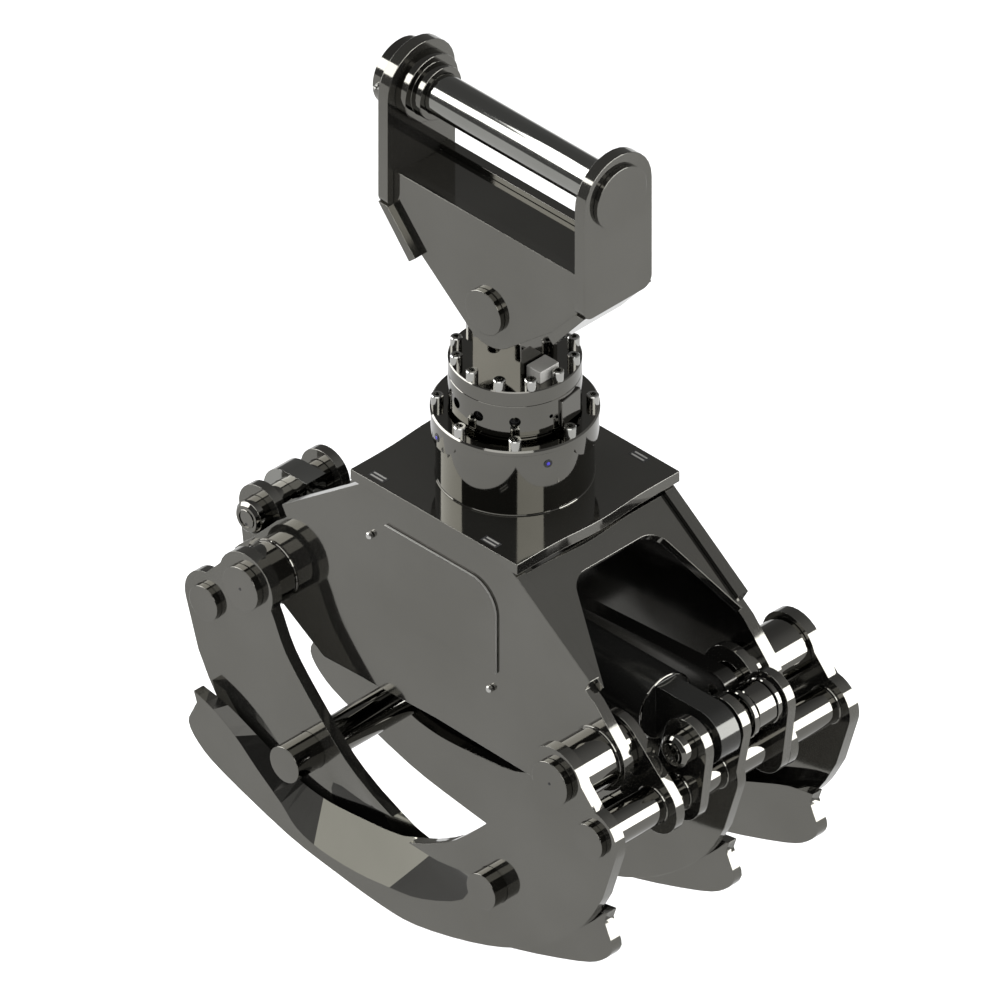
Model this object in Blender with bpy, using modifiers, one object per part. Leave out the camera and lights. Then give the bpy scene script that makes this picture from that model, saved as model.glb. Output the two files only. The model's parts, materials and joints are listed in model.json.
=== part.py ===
# Log grapple with a rotator and a swing link, hung from one pin.
# Metres, +Z up. The origin is the middle of the top hanger pin.
# X runs across the jaws, Y along the jaw pins.

import math

import bmesh
import bpy
from mathutils import Vector

# Clearances and shared values
FIT_GAP = 0.0003
RUNNING_GAP = 0.001
CUT_OVERRUN = 0.002
MERGE_DISTANCE = 0.00001
ROUND_STEPS = 30
ARC_STEP_DEGREES = 12.0
SHARP_ANGLE_DEGREES = 30.0

# Hanger, the swing link at the top
EAR_OUTER_SPREAD = 0.324
EAR_THICKNESS = 0.015
EAR_WIDTH = 0.107
EAR_DROP = 0.142
EAR_CORNER = 0.014
TOP_PIN_DIAMETER = 0.050
TOP_PIN_CAP_DIAMETER = 0.078
TOP_PIN_CAP_THICKNESS = 0.006
TOP_PIN_COLLAR_DIAMETER = 0.084
TOP_PIN_COLLAR_LENGTH = 0.016
TOP_PIN_STEP_DIAMETER = 0.066
TOP_PIN_STEP_LENGTH = 0.030
LINK_PLATE_THICKNESS = 0.013
LINK_PLATE_SETBACK = 0.010
LINK_PLATE_TOP_DROP = 0.098
LINK_PLATE_EDGE_DROP = 0.143
LINK_PLATE_WAIST_HALF = 0.1036
LINK_PLATE_WAIST_DROP = 0.192
SWING_PIN_DROP = 0.215
SWING_BOSS_RADIUS = 0.048
SWING_PIN_DIAMETER = 0.050
SWING_PIN_HEAD_THICKNESS = 0.007
SWING_PIN_HEAD_DIAMETER = 0.056
LINK_FLOOR_THICKNESS = 0.012
LINK_FLOOR_DROP = 0.112
APRON_THICKNESS = 0.013

# Rotator, heights measured up from the top plate of the housing
HOUSING_TOP_DROP = 0.454
ROTOR_BASE_DIAMETER = 0.168
ROTOR_BASE_WALL = 0.012
ROTOR_BASE_HEIGHT = 0.062
ROTOR_COLLAR_DIAMETER = 0.178
ROTOR_COLLAR_HEIGHT = 0.020
ROTOR_FLANGE_DIAMETER = 0.190
ROTOR_FLANGE_THICKNESS = 0.013
ROTATOR_BODY_DIAMETER = 0.150
ROTATOR_NECK_DIAMETER = 0.136
ROTATOR_NECK_HEIGHT = 0.006
ROTATOR_BODY_HEIGHT = 0.056
ROTATOR_HEAD_DIAMETER = 0.112
ROTATOR_HEAD_HEIGHT = 0.008
LUG_SIDE_GAP = 0.0015
ROTATOR_LUG_RADIUS = 0.038
ROTATOR_SPIGOT_DIAMETER = 0.080
ROTATOR_SPIGOT_DEPTH = 0.040
PORT_DIAMETER = 0.013
PORT_DEPTH = 0.010
PORT_HEIGHT_SHARE = 0.36
PORT_ANGLES = (-105, -78, -45)
PORT_STEPS = 12

# Housing, drops measured down from its top plate
TOP_PLATE_HALF_LENGTH = 0.131
TOP_PLATE_HALF_WIDTH = 0.128
TOP_PLATE_BULGE = 0.004
TOP_PLATE_THICKNESS = 0.014
SIDE_PLATE_OUTER = 0.1245
SIDE_PLATE_THICKNESS = 0.015
SIDE_SHOULDER_SETBACK = 0.012
SIDE_SHOULDER_DROP = 0.106
SIDE_NOTCH_DEPTH = 0.008
SIDE_NOTCH_DROP = 0.120
SIDE_BOTTOM_DROP = 0.280
SIDE_BOTTOM_HALF = 0.176
SIDE_BOTTOM_ARCH = 0.005
PIVOT_HALF_SPREAD = 0.254
PIVOT_DROP = 0.200
LUG_RADIUS = 0.043
END_PLATE_THICKNESS = 0.012
END_PLATE_RECESS = 0.006
WINDOW_TOP_SETBACK = 0.044
WINDOW_TOP_HALF = 0.063
WINDOW_FOOT_HALF = 0.108
WINDOW_CORNER = 0.028
COVER_LENGTH = 0.196
COVER_HEIGHT = 0.116
COVER_THICKNESS = 0.006
COVER_CORNER = 0.040
COVER_TOP_DROP = 0.050
COVER_SHIFT = 0.020

# Jaws, places measured from the jaw pivot, outwards and up
TINE_THICKNESS = 0.015
RIGHT_OUTER_FACE = 0.191
LEFT_OUTER_FACE = 0.169
INNER_PLATE_THICKNESS = 0.013
FORK_PLATE_INNER_FACE = 0.083
RIGHT_CENTRE_TINE_FACE = 0.0
LEFT_CENTRE_TINE_FACE = 0.022
RIGHT_CLEVIS_FACE = -0.059
LEFT_CLEVIS_FACE = -0.075
PIVOT_LOBE_RADIUS = 0.042
TUBE_OUT = 0.0593
TUBE_DROP = 0.050
TUBE_LOBE_RADIUS = 0.037
TUBE_DIAMETER = 0.044
TUBE_CAP_THICKNESS = 0.008
LEVER_OUT = 0.0723
LEVER_RISE = 0.018
LEVER_LOBE_RADIUS = 0.033
LEVER_PIN_DIAMETER = 0.040
LEVER_PIN_OVERHANG = 0.021
LEVER_PIN_CHAMFER = 0.004
TIP_OVERREACH = 0.322
TINE_DROP = 0.308
RIB_THROAT_IN = 0.024
RIB_THROAT_DROP = 0.040
STOP_BAR_DIAMETER = 0.045
STOP_BAR_OVERHANG = 0.020
RIGHT_STOP_BAR_IN = 0.097
RIGHT_STOP_BAR_DROP = 0.190
LEFT_STOP_BAR_IN = 0.102
LEFT_STOP_BAR_DROP = 0.172
JAW_PIN_DIAMETER = 0.045
JAW_PIN_HEAD_DIAMETER = 0.055
JAW_PIN_HEAD_THICKNESS = 0.009
HUB_DIAMETER = 0.072

# Shares of the tine's span and drop, from the pivot inwards and down
TINE_THROAT_SHARES = (
    (0.078, 0.080), (0.110, 0.200), (0.175, 0.341), (0.271, 0.516), (0.345, 0.603),
)
TINE_EDGE_SHARES = (
    (0.399, 0.649), (0.410, 0.658), (0.422, 0.667), (0.440, 0.680), (0.470, 0.692), (0.498, 0.699),
    (0.569, 0.711), (0.639, 0.718), (0.690, 0.710), (0.725, 0.695), (0.785, 0.652), (0.840, 0.608),
    (0.918, 0.550), (0.986, 0.525),
)
TINE_SCOOP_SHARES = (
    (0.399, 0.649), (0.322, 0.655), (0.240, 0.645), (0.252, 0.761), (0.363, 0.863), (0.448, 0.895),
    (0.543, 0.912), (0.639, 0.905), (0.705, 0.870), (0.748, 0.799), (0.813, 0.710), (0.873, 0.620),
    (0.933, 0.558), (0.986, 0.525),
)
TINE_OUTER_SHARES = (
    (0.978, 0.569), (0.988, 0.610), (1.000, 0.675), (0.972, 0.745), (0.908, 0.810), (0.731, 0.920),
    (0.600, 0.965), (0.477, 0.995), (0.380, 0.995), (0.230, 0.930), (0.104, 0.838), (0.000, 0.710),
    (-0.080, 0.560), (-0.130, 0.400),
)
TINE_CURVE_STEPS = 3
TOP_EDGE_STEPS = 5
RIB_INNER_START_SHARE = 3

# Cylinder
CYLINDER_CENTRE = -0.020
BARREL_DIAMETER = 0.080
BARREL_BORE = 0.063
BARREL_BASE_INSET = 0.070
BARREL_LENGTH = 0.330
BARREL_BASE_THICKNESS = 0.020
GLAND_DIAMETER = 0.072
GLAND_LENGTH = 0.012
GLAND_BORE_DEPTH = 0.030
ROD_DIAMETER = 0.040
PISTON_LENGTH = 0.030
EYE_WIDTH = 0.030
EYE_RADIUS = 0.034

# Synchronising link between the jaws
JAW_SWING_DEGREES = 95.0
SYNC_CRANK = 0.020
SYNC_FACE = 0.042
SYNC_WIDTH = 0.020
SYNC_EYE_RADIUS = 0.024
SYNC_PIN_DIAMETER = 0.016
SYNC_OPEN_CLEARANCE = 0.0075

HOUSING_TOP_Z = -HOUSING_TOP_DROP
PIVOT_Z = HOUSING_TOP_Z - PIVOT_DROP
LINK_PLATE_FACE = EAR_WIDTH / 2 - LINK_PLATE_SETBACK
ROTATOR_LUG_WIDTH = 2 * (LINK_PLATE_FACE - LINK_PLATE_THICKNESS - LUG_SIDE_GAP)
FORK_PLATE_OUTER_FACE = FORK_PLATE_INNER_FACE + INNER_PLATE_THICKNESS
SIDE_SHOULDER_HALF = PIVOT_HALF_SPREAD - SIDE_SHOULDER_SETBACK
TINE_SPAN = PIVOT_HALF_SPREAD + TIP_OVERREACH


def clear_scene():
    for obj in list(bpy.data.objects):
        bpy.data.objects.remove(obj, do_unlink=True)


def new_collection(name):
    collection = bpy.data.collections.new(name)
    bpy.context.scene.collection.children.link(collection)
    return collection


clear_scene()
PARTS = new_collection("log_grapple")
CUTTERS = new_collection("cutters")


def finish_material(obj, colour, roughness, metallic):
    material = bpy.data.materials.new(obj.name + "_finish")
    material.use_nodes = True
    shader = material.node_tree.nodes["Principled BSDF"]
    shader.inputs["Base Color"].default_value = (*colour, 1.0)
    shader.inputs["Roughness"].default_value = roughness
    shader.inputs["Metallic"].default_value = metallic
    obj.data.materials.clear()
    obj.data.materials.append(material)


def paint_plate(obj):
    finish_material(obj, (0.15, 0.147, 0.133), 0.32, 0.6)


def paint_machined(obj):
    finish_material(obj, (0.42, 0.41, 0.38), 0.22, 1.0)


def paint_barrel(obj):
    finish_material(obj, (0.05, 0.06, 0.07), 0.3, 0.7)


def paint_chrome(obj):
    finish_material(obj, (0.75, 0.75, 0.74), 0.08, 1.0)


# Outline helpers, all in the plane of a plate


def arc(centre, radius, start, end):
    count = max(2, round(abs(end - start) / ARC_STEP_DEGREES))
    angles = [math.radians(start + (end - start) * step / count) for step in range(count + 1)]
    return [(centre[0] + radius * math.cos(a), centre[1] + radius * math.sin(a)) for a in angles]


def circle(centre, diameter):
    return arc(centre, diameter / 2, 0, 360)[:-1]


def fillet(before, corner, after, radius):
    """Round one corner of an outline, no further than half of each side."""
    corner = Vector(corner)
    to_before = Vector(before) - corner
    to_after = Vector(after) - corner
    opening = to_before.angle(to_after)
    reach = min(radius / math.tan(opening / 2), to_before.length / 2, to_after.length / 2)
    fitted = reach * math.tan(opening / 2)
    middle = corner + (to_before.normalized() + to_after.normalized()).normalized() * (
        fitted / math.sin(opening / 2)
    )
    start = corner + to_before.normalized() * reach - middle
    end = corner + to_after.normalized() * reach - middle
    turn = start.angle_signed(end)
    first = math.atan2(start.y, start.x)
    count = max(2, round(abs(math.degrees(turn)) / ARC_STEP_DEGREES))
    return [
        (middle.x + fitted * math.cos(first - turn * step / count),
         middle.y + fitted * math.sin(first - turn * step / count))
        for step in range(count + 1)
    ]


def rounded(corners):
    """Outline from corners given as (x, z, radius)."""
    points = []
    for index, corner in enumerate(corners):
        before = corners[index - 1]
        after = corners[(index + 1) % len(corners)]
        if corner[2] > 0:
            points += fillet(before[:2], corner[:2], after[:2], corner[2])
        else:
            points.append(corner[:2])
    return points


def smooth(points, steps):
    """Catmull-Rom curve through the points."""
    track = [points[0], *points, points[-1]]
    result = []
    for index in range(1, len(track) - 2):
        a, b, c, d = (Vector(track[index + shift]) for shift in (-1, 0, 1, 2))
        for step in range(steps):
            t = step / steps
            result.append(tuple(
                0.5 * (2 * b + (c - a) * t + (2 * a - 5 * b + 4 * c - d) * t ** 2
                       + (3 * b - a - 3 * c + d) * t ** 3)
            ))
    result.append(tuple(points[-1]))
    return result


def round_ended(first, first_radius, second, second_radius):
    """Outline of a strap that wraps two round bosses of unlike size."""
    along = Vector(second) - Vector(first)
    heading = math.degrees(math.atan2(along.y, along.x))
    lean = math.degrees(math.acos((first_radius - second_radius) / along.length))
    return (arc(first, first_radius, heading + lean, heading + 360 - lean)
            + arc(second, second_radius, heading - lean, heading + lean))


def mirrored(points, side):
    return [(side * x, z) for x, z in points]


# Solid helpers


def curve_to_mesh(obj):
    """Turn a filled curve into a welded mesh object of the same name."""
    bpy.context.view_layer.update()
    graph = bpy.context.evaluated_depsgraph_get()
    mesh = bpy.data.meshes.new_from_object(obj.evaluated_get(graph))
    work = bmesh.new()
    work.from_mesh(mesh)
    bmesh.ops.remove_doubles(work, verts=work.verts, dist=MERGE_DISTANCE)
    bmesh.ops.recalc_face_normals(work, faces=work.faces)
    work.to_mesh(mesh)
    work.free()
    name = obj.name
    matrix = obj.matrix_world.copy()
    bpy.data.objects.remove(obj, do_unlink=True)
    solid = bpy.data.objects.new(name, mesh)
    solid.matrix_world = matrix
    PARTS.objects.link(solid)
    return solid


def flat(name, loops, thickness, location, rotation):
    """Flat plate from closed loops; the first is the outline, the rest are holes."""
    curve = bpy.data.curves.new(name, "CURVE")
    curve.dimensions = "2D"
    curve.fill_mode = "BOTH"
    curve.extrude = thickness / 2
    for loop in loops:
        spline = curve.splines.new("POLY")
        spline.points.add(len(loop) - 1)
        for point, place in zip(spline.points, loop):
            point.co = (place[0], place[1], 0, 1)
        spline.use_cyclic_u = True
    obj = bpy.data.objects.new(name, curve)
    obj.location = location
    obj.rotation_euler = rotation
    PARTS.objects.link(obj)
    return curve_to_mesh(obj)


def upright(name, loops, face, thickness, origin):
    """Plate in the XZ plane that runs from y = face to y = face + thickness."""
    place = (origin[0], face + thickness / 2, origin[1])
    return flat(name, loops, thickness, place, (math.radians(90), 0, 0))


def lofted(name, low_loops, high_loops, face, thickness, origin):
    """Plate in the XZ plane whose outline changes between its two faces."""
    work = bmesh.new()
    low_edges = []
    high_edges = []
    for low_loop, high_loop in zip(low_loops, high_loops):
        low = [work.verts.new((origin[0] + x, face, origin[1] + z)) for x, z in low_loop]
        high = [work.verts.new((origin[0] + x, face + thickness, origin[1] + z)) for x, z in high_loop]
        for index in range(len(low)):
            after = (index + 1) % len(low)
            work.faces.new((low[index], low[after], high[after], high[index]))
            low_edges.append(work.edges.get((low[index], low[after])))
            high_edges.append(work.edges.get((high[index], high[after])))
    bmesh.ops.triangle_fill(work, edges=low_edges, use_beauty=True)
    bmesh.ops.triangle_fill(work, edges=high_edges, use_beauty=True)
    bmesh.ops.triangulate(work, faces=[each for each in work.faces if len(each.verts) > 3])
    bmesh.ops.recalc_face_normals(work, faces=work.faces)
    mesh = bpy.data.meshes.new(name)
    work.to_mesh(mesh)
    work.free()
    obj = bpy.data.objects.new(name, mesh)
    PARTS.objects.link(obj)
    return obj


def turned(name, profile, location, rotation, ring=False, steps=ROUND_STEPS):
    """Turned piece; the profile is (radius, height) down the outer side."""
    mesh = bpy.data.meshes.new(name)
    verts = [(radius, 0, height) for radius, height in profile]
    edges = [(index, index + 1) for index in range(len(profile) - 1)]
    if ring:
        edges.append((len(profile) - 1, 0))
    mesh.from_pydata(verts, edges, [])
    obj = bpy.data.objects.new(name, mesh)
    obj.location = location
    obj.rotation_euler = rotation
    PARTS.objects.link(obj)
    screw = obj.modifiers.new("turn", "SCREW")
    screw.steps = steps
    screw.render_steps = steps
    screw.use_merge_vertices = True
    screw.merge_threshold = MERGE_DISTANCE
    screw.use_smooth_shade = True
    bpy.context.view_layer.update()
    graph = bpy.context.evaluated_depsgraph_get()
    solid = bpy.data.meshes.new_from_object(obj.evaluated_get(graph))
    obj.modifiers.clear()
    obj.data = solid
    work = bmesh.new()
    work.from_mesh(solid)
    bmesh.ops.remove_doubles(work, verts=work.verts, dist=MERGE_DISTANCE)
    bmesh.ops.recalc_face_normals(work, faces=work.faces)
    work.to_mesh(solid)
    work.free()
    solid.shade_smooth()
    solid.set_sharp_from_angle(angle=math.radians(SHARP_ANGLE_DEGREES))
    return obj


def along_y(name, profile, x, z, ring=False):
    """Turned piece on a Y axis; heights in the profile are y values."""
    return turned(name, profile, (x, 0, z), (math.radians(-90), 0, 0), ring)


def along_x(name, profile, y, z, ring=False):
    """Turned piece on an X axis; heights in the profile are x values."""
    return turned(name, profile, (0, y, z), (0, math.radians(90), 0), ring)


def rod_profile(radius, low, high, chamfer=0.0):
    if chamfer == 0:
        return [(0, high), (radius, high), (radius, low), (0, low)]
    return [(0, high), (radius - chamfer, high), (radius, high - chamfer),
            (radius, low + chamfer), (radius - chamfer, low), (0, low)]


def ring_profile(inner, outer, low, high):
    return [(inner, high), (outer, high), (outer, low), (inner, low)]


def boolean(target, tool, operation):
    """Apply one Boolean to the target and drop the tool."""
    bpy.context.view_layer.update()
    modifier = target.modifiers.new(operation.lower(), "BOOLEAN")
    modifier.operation = operation
    modifier.solver = "EXACT"
    modifier.object = tool
    bpy.context.view_layer.update()
    graph = bpy.context.evaluated_depsgraph_get()
    mesh = bpy.data.meshes.new_from_object(target.evaluated_get(graph))
    target.modifiers.clear()
    target.data = mesh
    bpy.data.objects.remove(tool, do_unlink=True)
    return target


def as_cutter(obj):
    PARTS.objects.unlink(obj)
    CUTTERS.objects.link(obj)
    obj.hide_render = True
    obj.display_type = "WIRE"
    return obj


def axis_empty(name, location):
    empty = bpy.data.objects.new(name, None)
    empty.location = location
    PARTS.objects.link(empty)
    return empty


def hang(pieces, empty):
    bpy.context.view_layer.update()
    for piece in pieces:
        matrix = piece.matrix_world.copy()
        piece.parent = empty
        piece.matrix_parent_inverse = empty.matrix_world.inverted()
        piece.matrix_world = matrix


# Hanger


def ear(name, side):
    half = EAR_WIDTH / 2
    outline = arc((0, 0), half, 0, 180) + rounded_foot(half)
    hole = circle((0, 0), TOP_PIN_DIAMETER + 2 * FIT_GAP)
    x = side * (EAR_OUTER_SPREAD - EAR_THICKNESS) / 2
    plate = flat(name, [outline, hole], EAR_THICKNESS, (x, 0, 0), (math.radians(90), 0, math.radians(90)))
    paint_plate(plate)
    return plate


def rounded_foot(half):
    left = fillet((-half, 0), (-half, -EAR_DROP), (half, -EAR_DROP), EAR_CORNER)
    right = fillet((-half, -EAR_DROP), (half, -EAR_DROP), (half, 0), EAR_CORNER)
    return left + right


def link_plate(name, face):
    inner = EAR_OUTER_SPREAD / 2 - EAR_THICKNESS - FIT_GAP
    boss = (0, -SWING_PIN_DROP)
    waist = (LINK_PLATE_WAIST_HALF, -LINK_PLATE_WAIST_DROP)
    fall = math.degrees(math.atan2(SWING_BOSS_RADIUS / 2, SWING_BOSS_RADIUS))
    outline = (
        [(-inner, -LINK_PLATE_TOP_DROP), (-inner, -LINK_PLATE_EDGE_DROP), (-waist[0], waist[1])]
        + arc(boss, SWING_BOSS_RADIUS, 180 + 2 * fall, 360 - 2 * fall)
        + [waist, (inner, -LINK_PLATE_EDGE_DROP), (inner, -LINK_PLATE_TOP_DROP)]
    )
    hole = circle(boss, SWING_PIN_DIAMETER + 2 * FIT_GAP)
    plate = upright(name, [outline, hole], face, LINK_PLATE_THICKNESS, (0, 0))
    paint_plate(plate)
    return plate


def apron(name, side):
    """Slanted foot plate from an ear along the link plates' lower edges."""
    inner = EAR_OUTER_SPREAD / 2 - EAR_THICKNESS
    edge = Vector((inner, -LINK_PLATE_EDGE_DROP))
    waist = Vector((LINK_PLATE_WAIST_HALF, -LINK_PLATE_WAIST_DROP))
    along = (waist - edge).normalized()
    outward = Vector((-along.y, along.x))
    top = -EAR_DROP - FIT_GAP
    outline = [
        (inner, top), (inner + EAR_THICKNESS, top), tuple(waist + outward * APRON_THICKNESS),
        tuple(waist + outward * FIT_GAP), tuple(edge + outward * FIT_GAP),
    ]
    plate = upright(name, [mirrored(outline, side)], -EAR_WIDTH / 2, EAR_WIDTH, (0, 0))
    paint_plate(plate)
    return plate


def link_floor():
    """Cross plate between the hanger's two side plates."""
    half = EAR_OUTER_SPREAD / 2 - EAR_THICKNESS - FIT_GAP
    depth = LINK_PLATE_FACE - LINK_PLATE_THICKNESS - FIT_GAP
    outline = [(-half, -depth), (half, -depth), (half, depth), (-half, depth)]
    plate = flat("hanger_floor", [outline], LINK_FLOOR_THICKNESS, (0, 0, -LINK_FLOOR_DROP), (0, 0, 0))
    paint_plate(plate)
    return plate


def top_pin():
    half = EAR_OUTER_SPREAD / 2
    radius = TOP_PIN_DIAMETER / 2
    cap = TOP_PIN_CAP_DIAMETER / 2
    end = half + FIT_GAP
    profile = [
        (0, end + TOP_PIN_CAP_THICKNESS), (cap, end + TOP_PIN_CAP_THICKNESS), (cap, end),
        (radius, end), (radius, -half - TOP_PIN_CAP_THICKNESS), (0, -half - TOP_PIN_CAP_THICKNESS),
    ]
    pin = along_x("hanger_top_pin", profile, 0, 0)
    paint_chrome(pin)
    return pin


def pin_collar():
    """Stepped collar on the left ear's inner face."""
    start = -EAR_OUTER_SPREAD / 2 + EAR_THICKNESS + FIT_GAP
    bore = TOP_PIN_DIAMETER / 2 + FIT_GAP
    wide = TOP_PIN_COLLAR_DIAMETER / 2
    narrow = TOP_PIN_STEP_DIAMETER / 2
    step = start + TOP_PIN_COLLAR_LENGTH
    end = start + TOP_PIN_STEP_LENGTH
    profile = [(bore, end), (narrow, end), (narrow, step), (wide, step), (wide, start), (bore, start)]
    collar = along_x("hanger_pin_collar", profile, 0, 0, ring=True)
    paint_machined(collar)
    return collar


def swing_pin():
    face = LINK_PLATE_FACE
    radius = SWING_PIN_DIAMETER / 2
    head = SWING_PIN_HEAD_DIAMETER / 2
    near = -face - FIT_GAP
    far = face + SWING_PIN_HEAD_THICKNESS
    profile = [(0, far), (radius, far), (radius, near), (head, near),
               (head, near - SWING_PIN_HEAD_THICKNESS), (0, near - SWING_PIN_HEAD_THICKNESS)]
    pin = along_y("swing_pin", profile, 0, -SWING_PIN_DROP)
    paint_machined(pin)
    return pin


def build_hanger():
    return [
        ear("hanger_ear_left", -1),
        ear("hanger_ear_right", 1),
        link_plate("hanger_plate_front", -LINK_PLATE_FACE),
        link_plate("hanger_plate_rear", LINK_PLATE_FACE - LINK_PLATE_THICKNESS),
        link_floor(),
        apron("hanger_apron_left", -1),
        apron("hanger_apron_right", 1),
        top_pin(),
        pin_collar(),
        swing_pin(),
    ]


# Rotator

ROTOR_FLANGE_TOP = HOUSING_TOP_Z + ROTOR_BASE_HEIGHT + ROTOR_COLLAR_HEIGHT + ROTOR_FLANGE_THICKNESS
ROTATOR_BODY_TOP = ROTOR_FLANGE_TOP + RUNNING_GAP + ROTATOR_NECK_HEIGHT + ROTATOR_BODY_HEIGHT


def rotator_body():
    low = ROTOR_FLANGE_TOP + RUNNING_GAP
    neck_top = low + ROTATOR_NECK_HEIGHT
    head_top = ROTATOR_BODY_TOP + ROTATOR_HEAD_HEIGHT
    neck = ROTATOR_NECK_DIAMETER / 2
    outer = ROTATOR_BODY_DIAMETER / 2
    head = ROTATOR_HEAD_DIAMETER / 2
    spigot = ROTATOR_SPIGOT_DIAMETER / 2
    profile = [
        (0, head_top), (head, head_top), (head, ROTATOR_BODY_TOP), (outer, ROTATOR_BODY_TOP),
        (outer, neck_top), (neck, neck_top), (neck, low), (spigot, low),
        (spigot, low - ROTATOR_SPIGOT_DEPTH), (0, low - ROTATOR_SPIGOT_DEPTH),
    ]
    body = turned("rotator_body", profile, (0, 0, 0), (0, 0, 0))
    boolean(body, rotator_lug_blank(head_top), "UNION")
    bore = along_y("swing_bore", rod_profile(SWING_PIN_DIAMETER / 2 + FIT_GAP, -outer, outer), 0, -SWING_PIN_DROP)
    boolean(body, as_cutter(bore), "DIFFERENCE")
    for angle in PORT_ANGLES:
        boolean(body, as_cutter(port_cutter(angle, neck_top)), "DIFFERENCE")
    paint_machined(body)
    return body


def rotator_lug_blank(head_top):
    """Upright lug between the hanger's side plates."""
    radius = ROTATOR_LUG_RADIUS
    foot = head_top - ROTATOR_HEAD_HEIGHT / 2
    outline = [(-radius, foot), (radius, foot)] + arc((0, -SWING_PIN_DROP), radius, 0, 180)
    return upright("rotator_lug_blank", [outline], -ROTATOR_LUG_WIDTH / 2, ROTATOR_LUG_WIDTH, (0, 0))


def port_cutter(angle, neck_top):
    """Round hose port bored into the rotator's wall."""
    reach = ROTATOR_BODY_DIAMETER / 2
    height = neck_top + ROTATOR_BODY_HEIGHT * PORT_HEIGHT_SHARE
    profile = rod_profile(PORT_DIAMETER / 2, reach - PORT_DEPTH, reach + CUT_OVERRUN)
    turn = (0, math.radians(90), math.radians(angle))
    return turned("port_cutter", profile, (0, 0, height), turn, steps=PORT_STEPS)


def rotor_flange():
    """Flange, collar and base tube that carry the housing."""
    top = ROTOR_FLANGE_TOP
    flange_low = top - ROTOR_FLANGE_THICKNESS
    collar_low = flange_low - ROTOR_COLLAR_HEIGHT
    bottom = HOUSING_TOP_Z + FIT_GAP
    flange = ROTOR_FLANGE_DIAMETER / 2
    collar = ROTOR_COLLAR_DIAMETER / 2
    base = ROTOR_BASE_DIAMETER / 2
    bore = ROTATOR_SPIGOT_DIAMETER / 2 + RUNNING_GAP
    inner = base - ROTOR_BASE_WALL
    profile = [
        (bore, top), (flange, top), (flange, flange_low), (collar, flange_low),
        (collar, collar_low), (base, collar_low), (base, bottom), (inner, bottom),
        (inner, collar_low), (bore, collar_low),
    ]
    ring = turned("rotor_flange", profile, (0, 0, 0), (0, 0, 0), ring=True)
    paint_machined(ring)
    return ring


# Housing


def top_plate():
    half = TOP_PLATE_HALF_LENGTH
    width = TOP_PLATE_HALF_WIDTH
    bulge = half + TOP_PLATE_BULGE
    right = [(half, -width), (half, -width / 2), (bulge, 0), (half, width / 2), (half, width)]
    left = [(-x, -y) for x, y in right]
    outline = smooth(right, TOP_EDGE_STEPS) + smooth(left, TOP_EDGE_STEPS)
    hole = circle((0, 0), ROTATOR_SPIGOT_DIAMETER)
    z = HOUSING_TOP_Z - TOP_PLATE_THICKNESS / 2
    plate = flat("housing_top_plate", [outline, hole], TOP_PLATE_THICKNESS, (0, 0, z), (0, 0, 0))
    paint_plate(plate)
    return plate


def side_outline():
    top = -TOP_PLATE_THICKNESS - FIT_GAP
    pivot = (PIVOT_HALF_SPREAD, -PIVOT_DROP)
    notch = SIDE_SHOULDER_HALF - SIDE_NOTCH_DEPTH
    right = (
        [(TOP_PLATE_HALF_LENGTH - TOP_PLATE_THICKNESS, top),
         (SIDE_SHOULDER_HALF, -SIDE_SHOULDER_DROP),
         (notch, -SIDE_NOTCH_DROP)]
        + arc(pivot, LUG_RADIUS, 120, -110)
        + [(SIDE_BOTTOM_HALF, -SIDE_BOTTOM_DROP)]
    )
    left = [(-x, z) for x, z in reversed(right)]
    return right + [(0, -SIDE_BOTTOM_DROP + SIDE_BOTTOM_ARCH)] + left


def side_plate(name, face):
    bore = HUB_DIAMETER + 2 * FIT_GAP
    holes = [circle((side * PIVOT_HALF_SPREAD, -PIVOT_DROP), bore) for side in (-1, 1)]
    plate = upright(name, [side_outline(), *holes], face, SIDE_PLATE_THICKNESS, (0, HOUSING_TOP_Z))
    paint_plate(plate)
    return plate


def end_plate(name, side):
    """Slanted end plate with a window open to the foot."""
    start = Vector((TOP_PLATE_HALF_LENGTH - TOP_PLATE_THICKNESS, -TOP_PLATE_THICKNESS))
    shoulder = Vector((SIDE_SHOULDER_HALF, -SIDE_SHOULDER_DROP))
    slope = (shoulder - start).normalized()
    length = (shoulder - start).length
    inward = Vector((slope.y, -slope.x))
    width = SIDE_PLATE_OUTER - SIDE_PLATE_THICKNESS - FIT_GAP
    corners = [
        (-width, 0, 0), (width, 0, 0), (width, -length, 0), (WINDOW_FOOT_HALF - FIT_GAP, -length, 0),
        (WINDOW_TOP_HALF, -WINDOW_TOP_SETBACK, WINDOW_CORNER),
        (-WINDOW_TOP_HALF, -WINDOW_TOP_SETBACK, WINDOW_CORNER),
        (FIT_GAP - WINDOW_FOOT_HALF, -length, 0), (-width, -length, 0),
    ]
    depth = END_PLATE_RECESS + END_PLATE_THICKNESS / 2
    middle = start + inward * depth + slope * END_PLATE_THICKNESS
    tilt = math.atan2(slope.x, -slope.y)
    place = (side * middle.x, 0, HOUSING_TOP_Z + middle.y)
    turn = (math.radians(90) - tilt, 0, side * math.radians(90))
    plate = flat(name, [rounded(corners)], END_PLATE_THICKNESS, place, turn)
    paint_plate(plate)
    return plate


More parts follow.
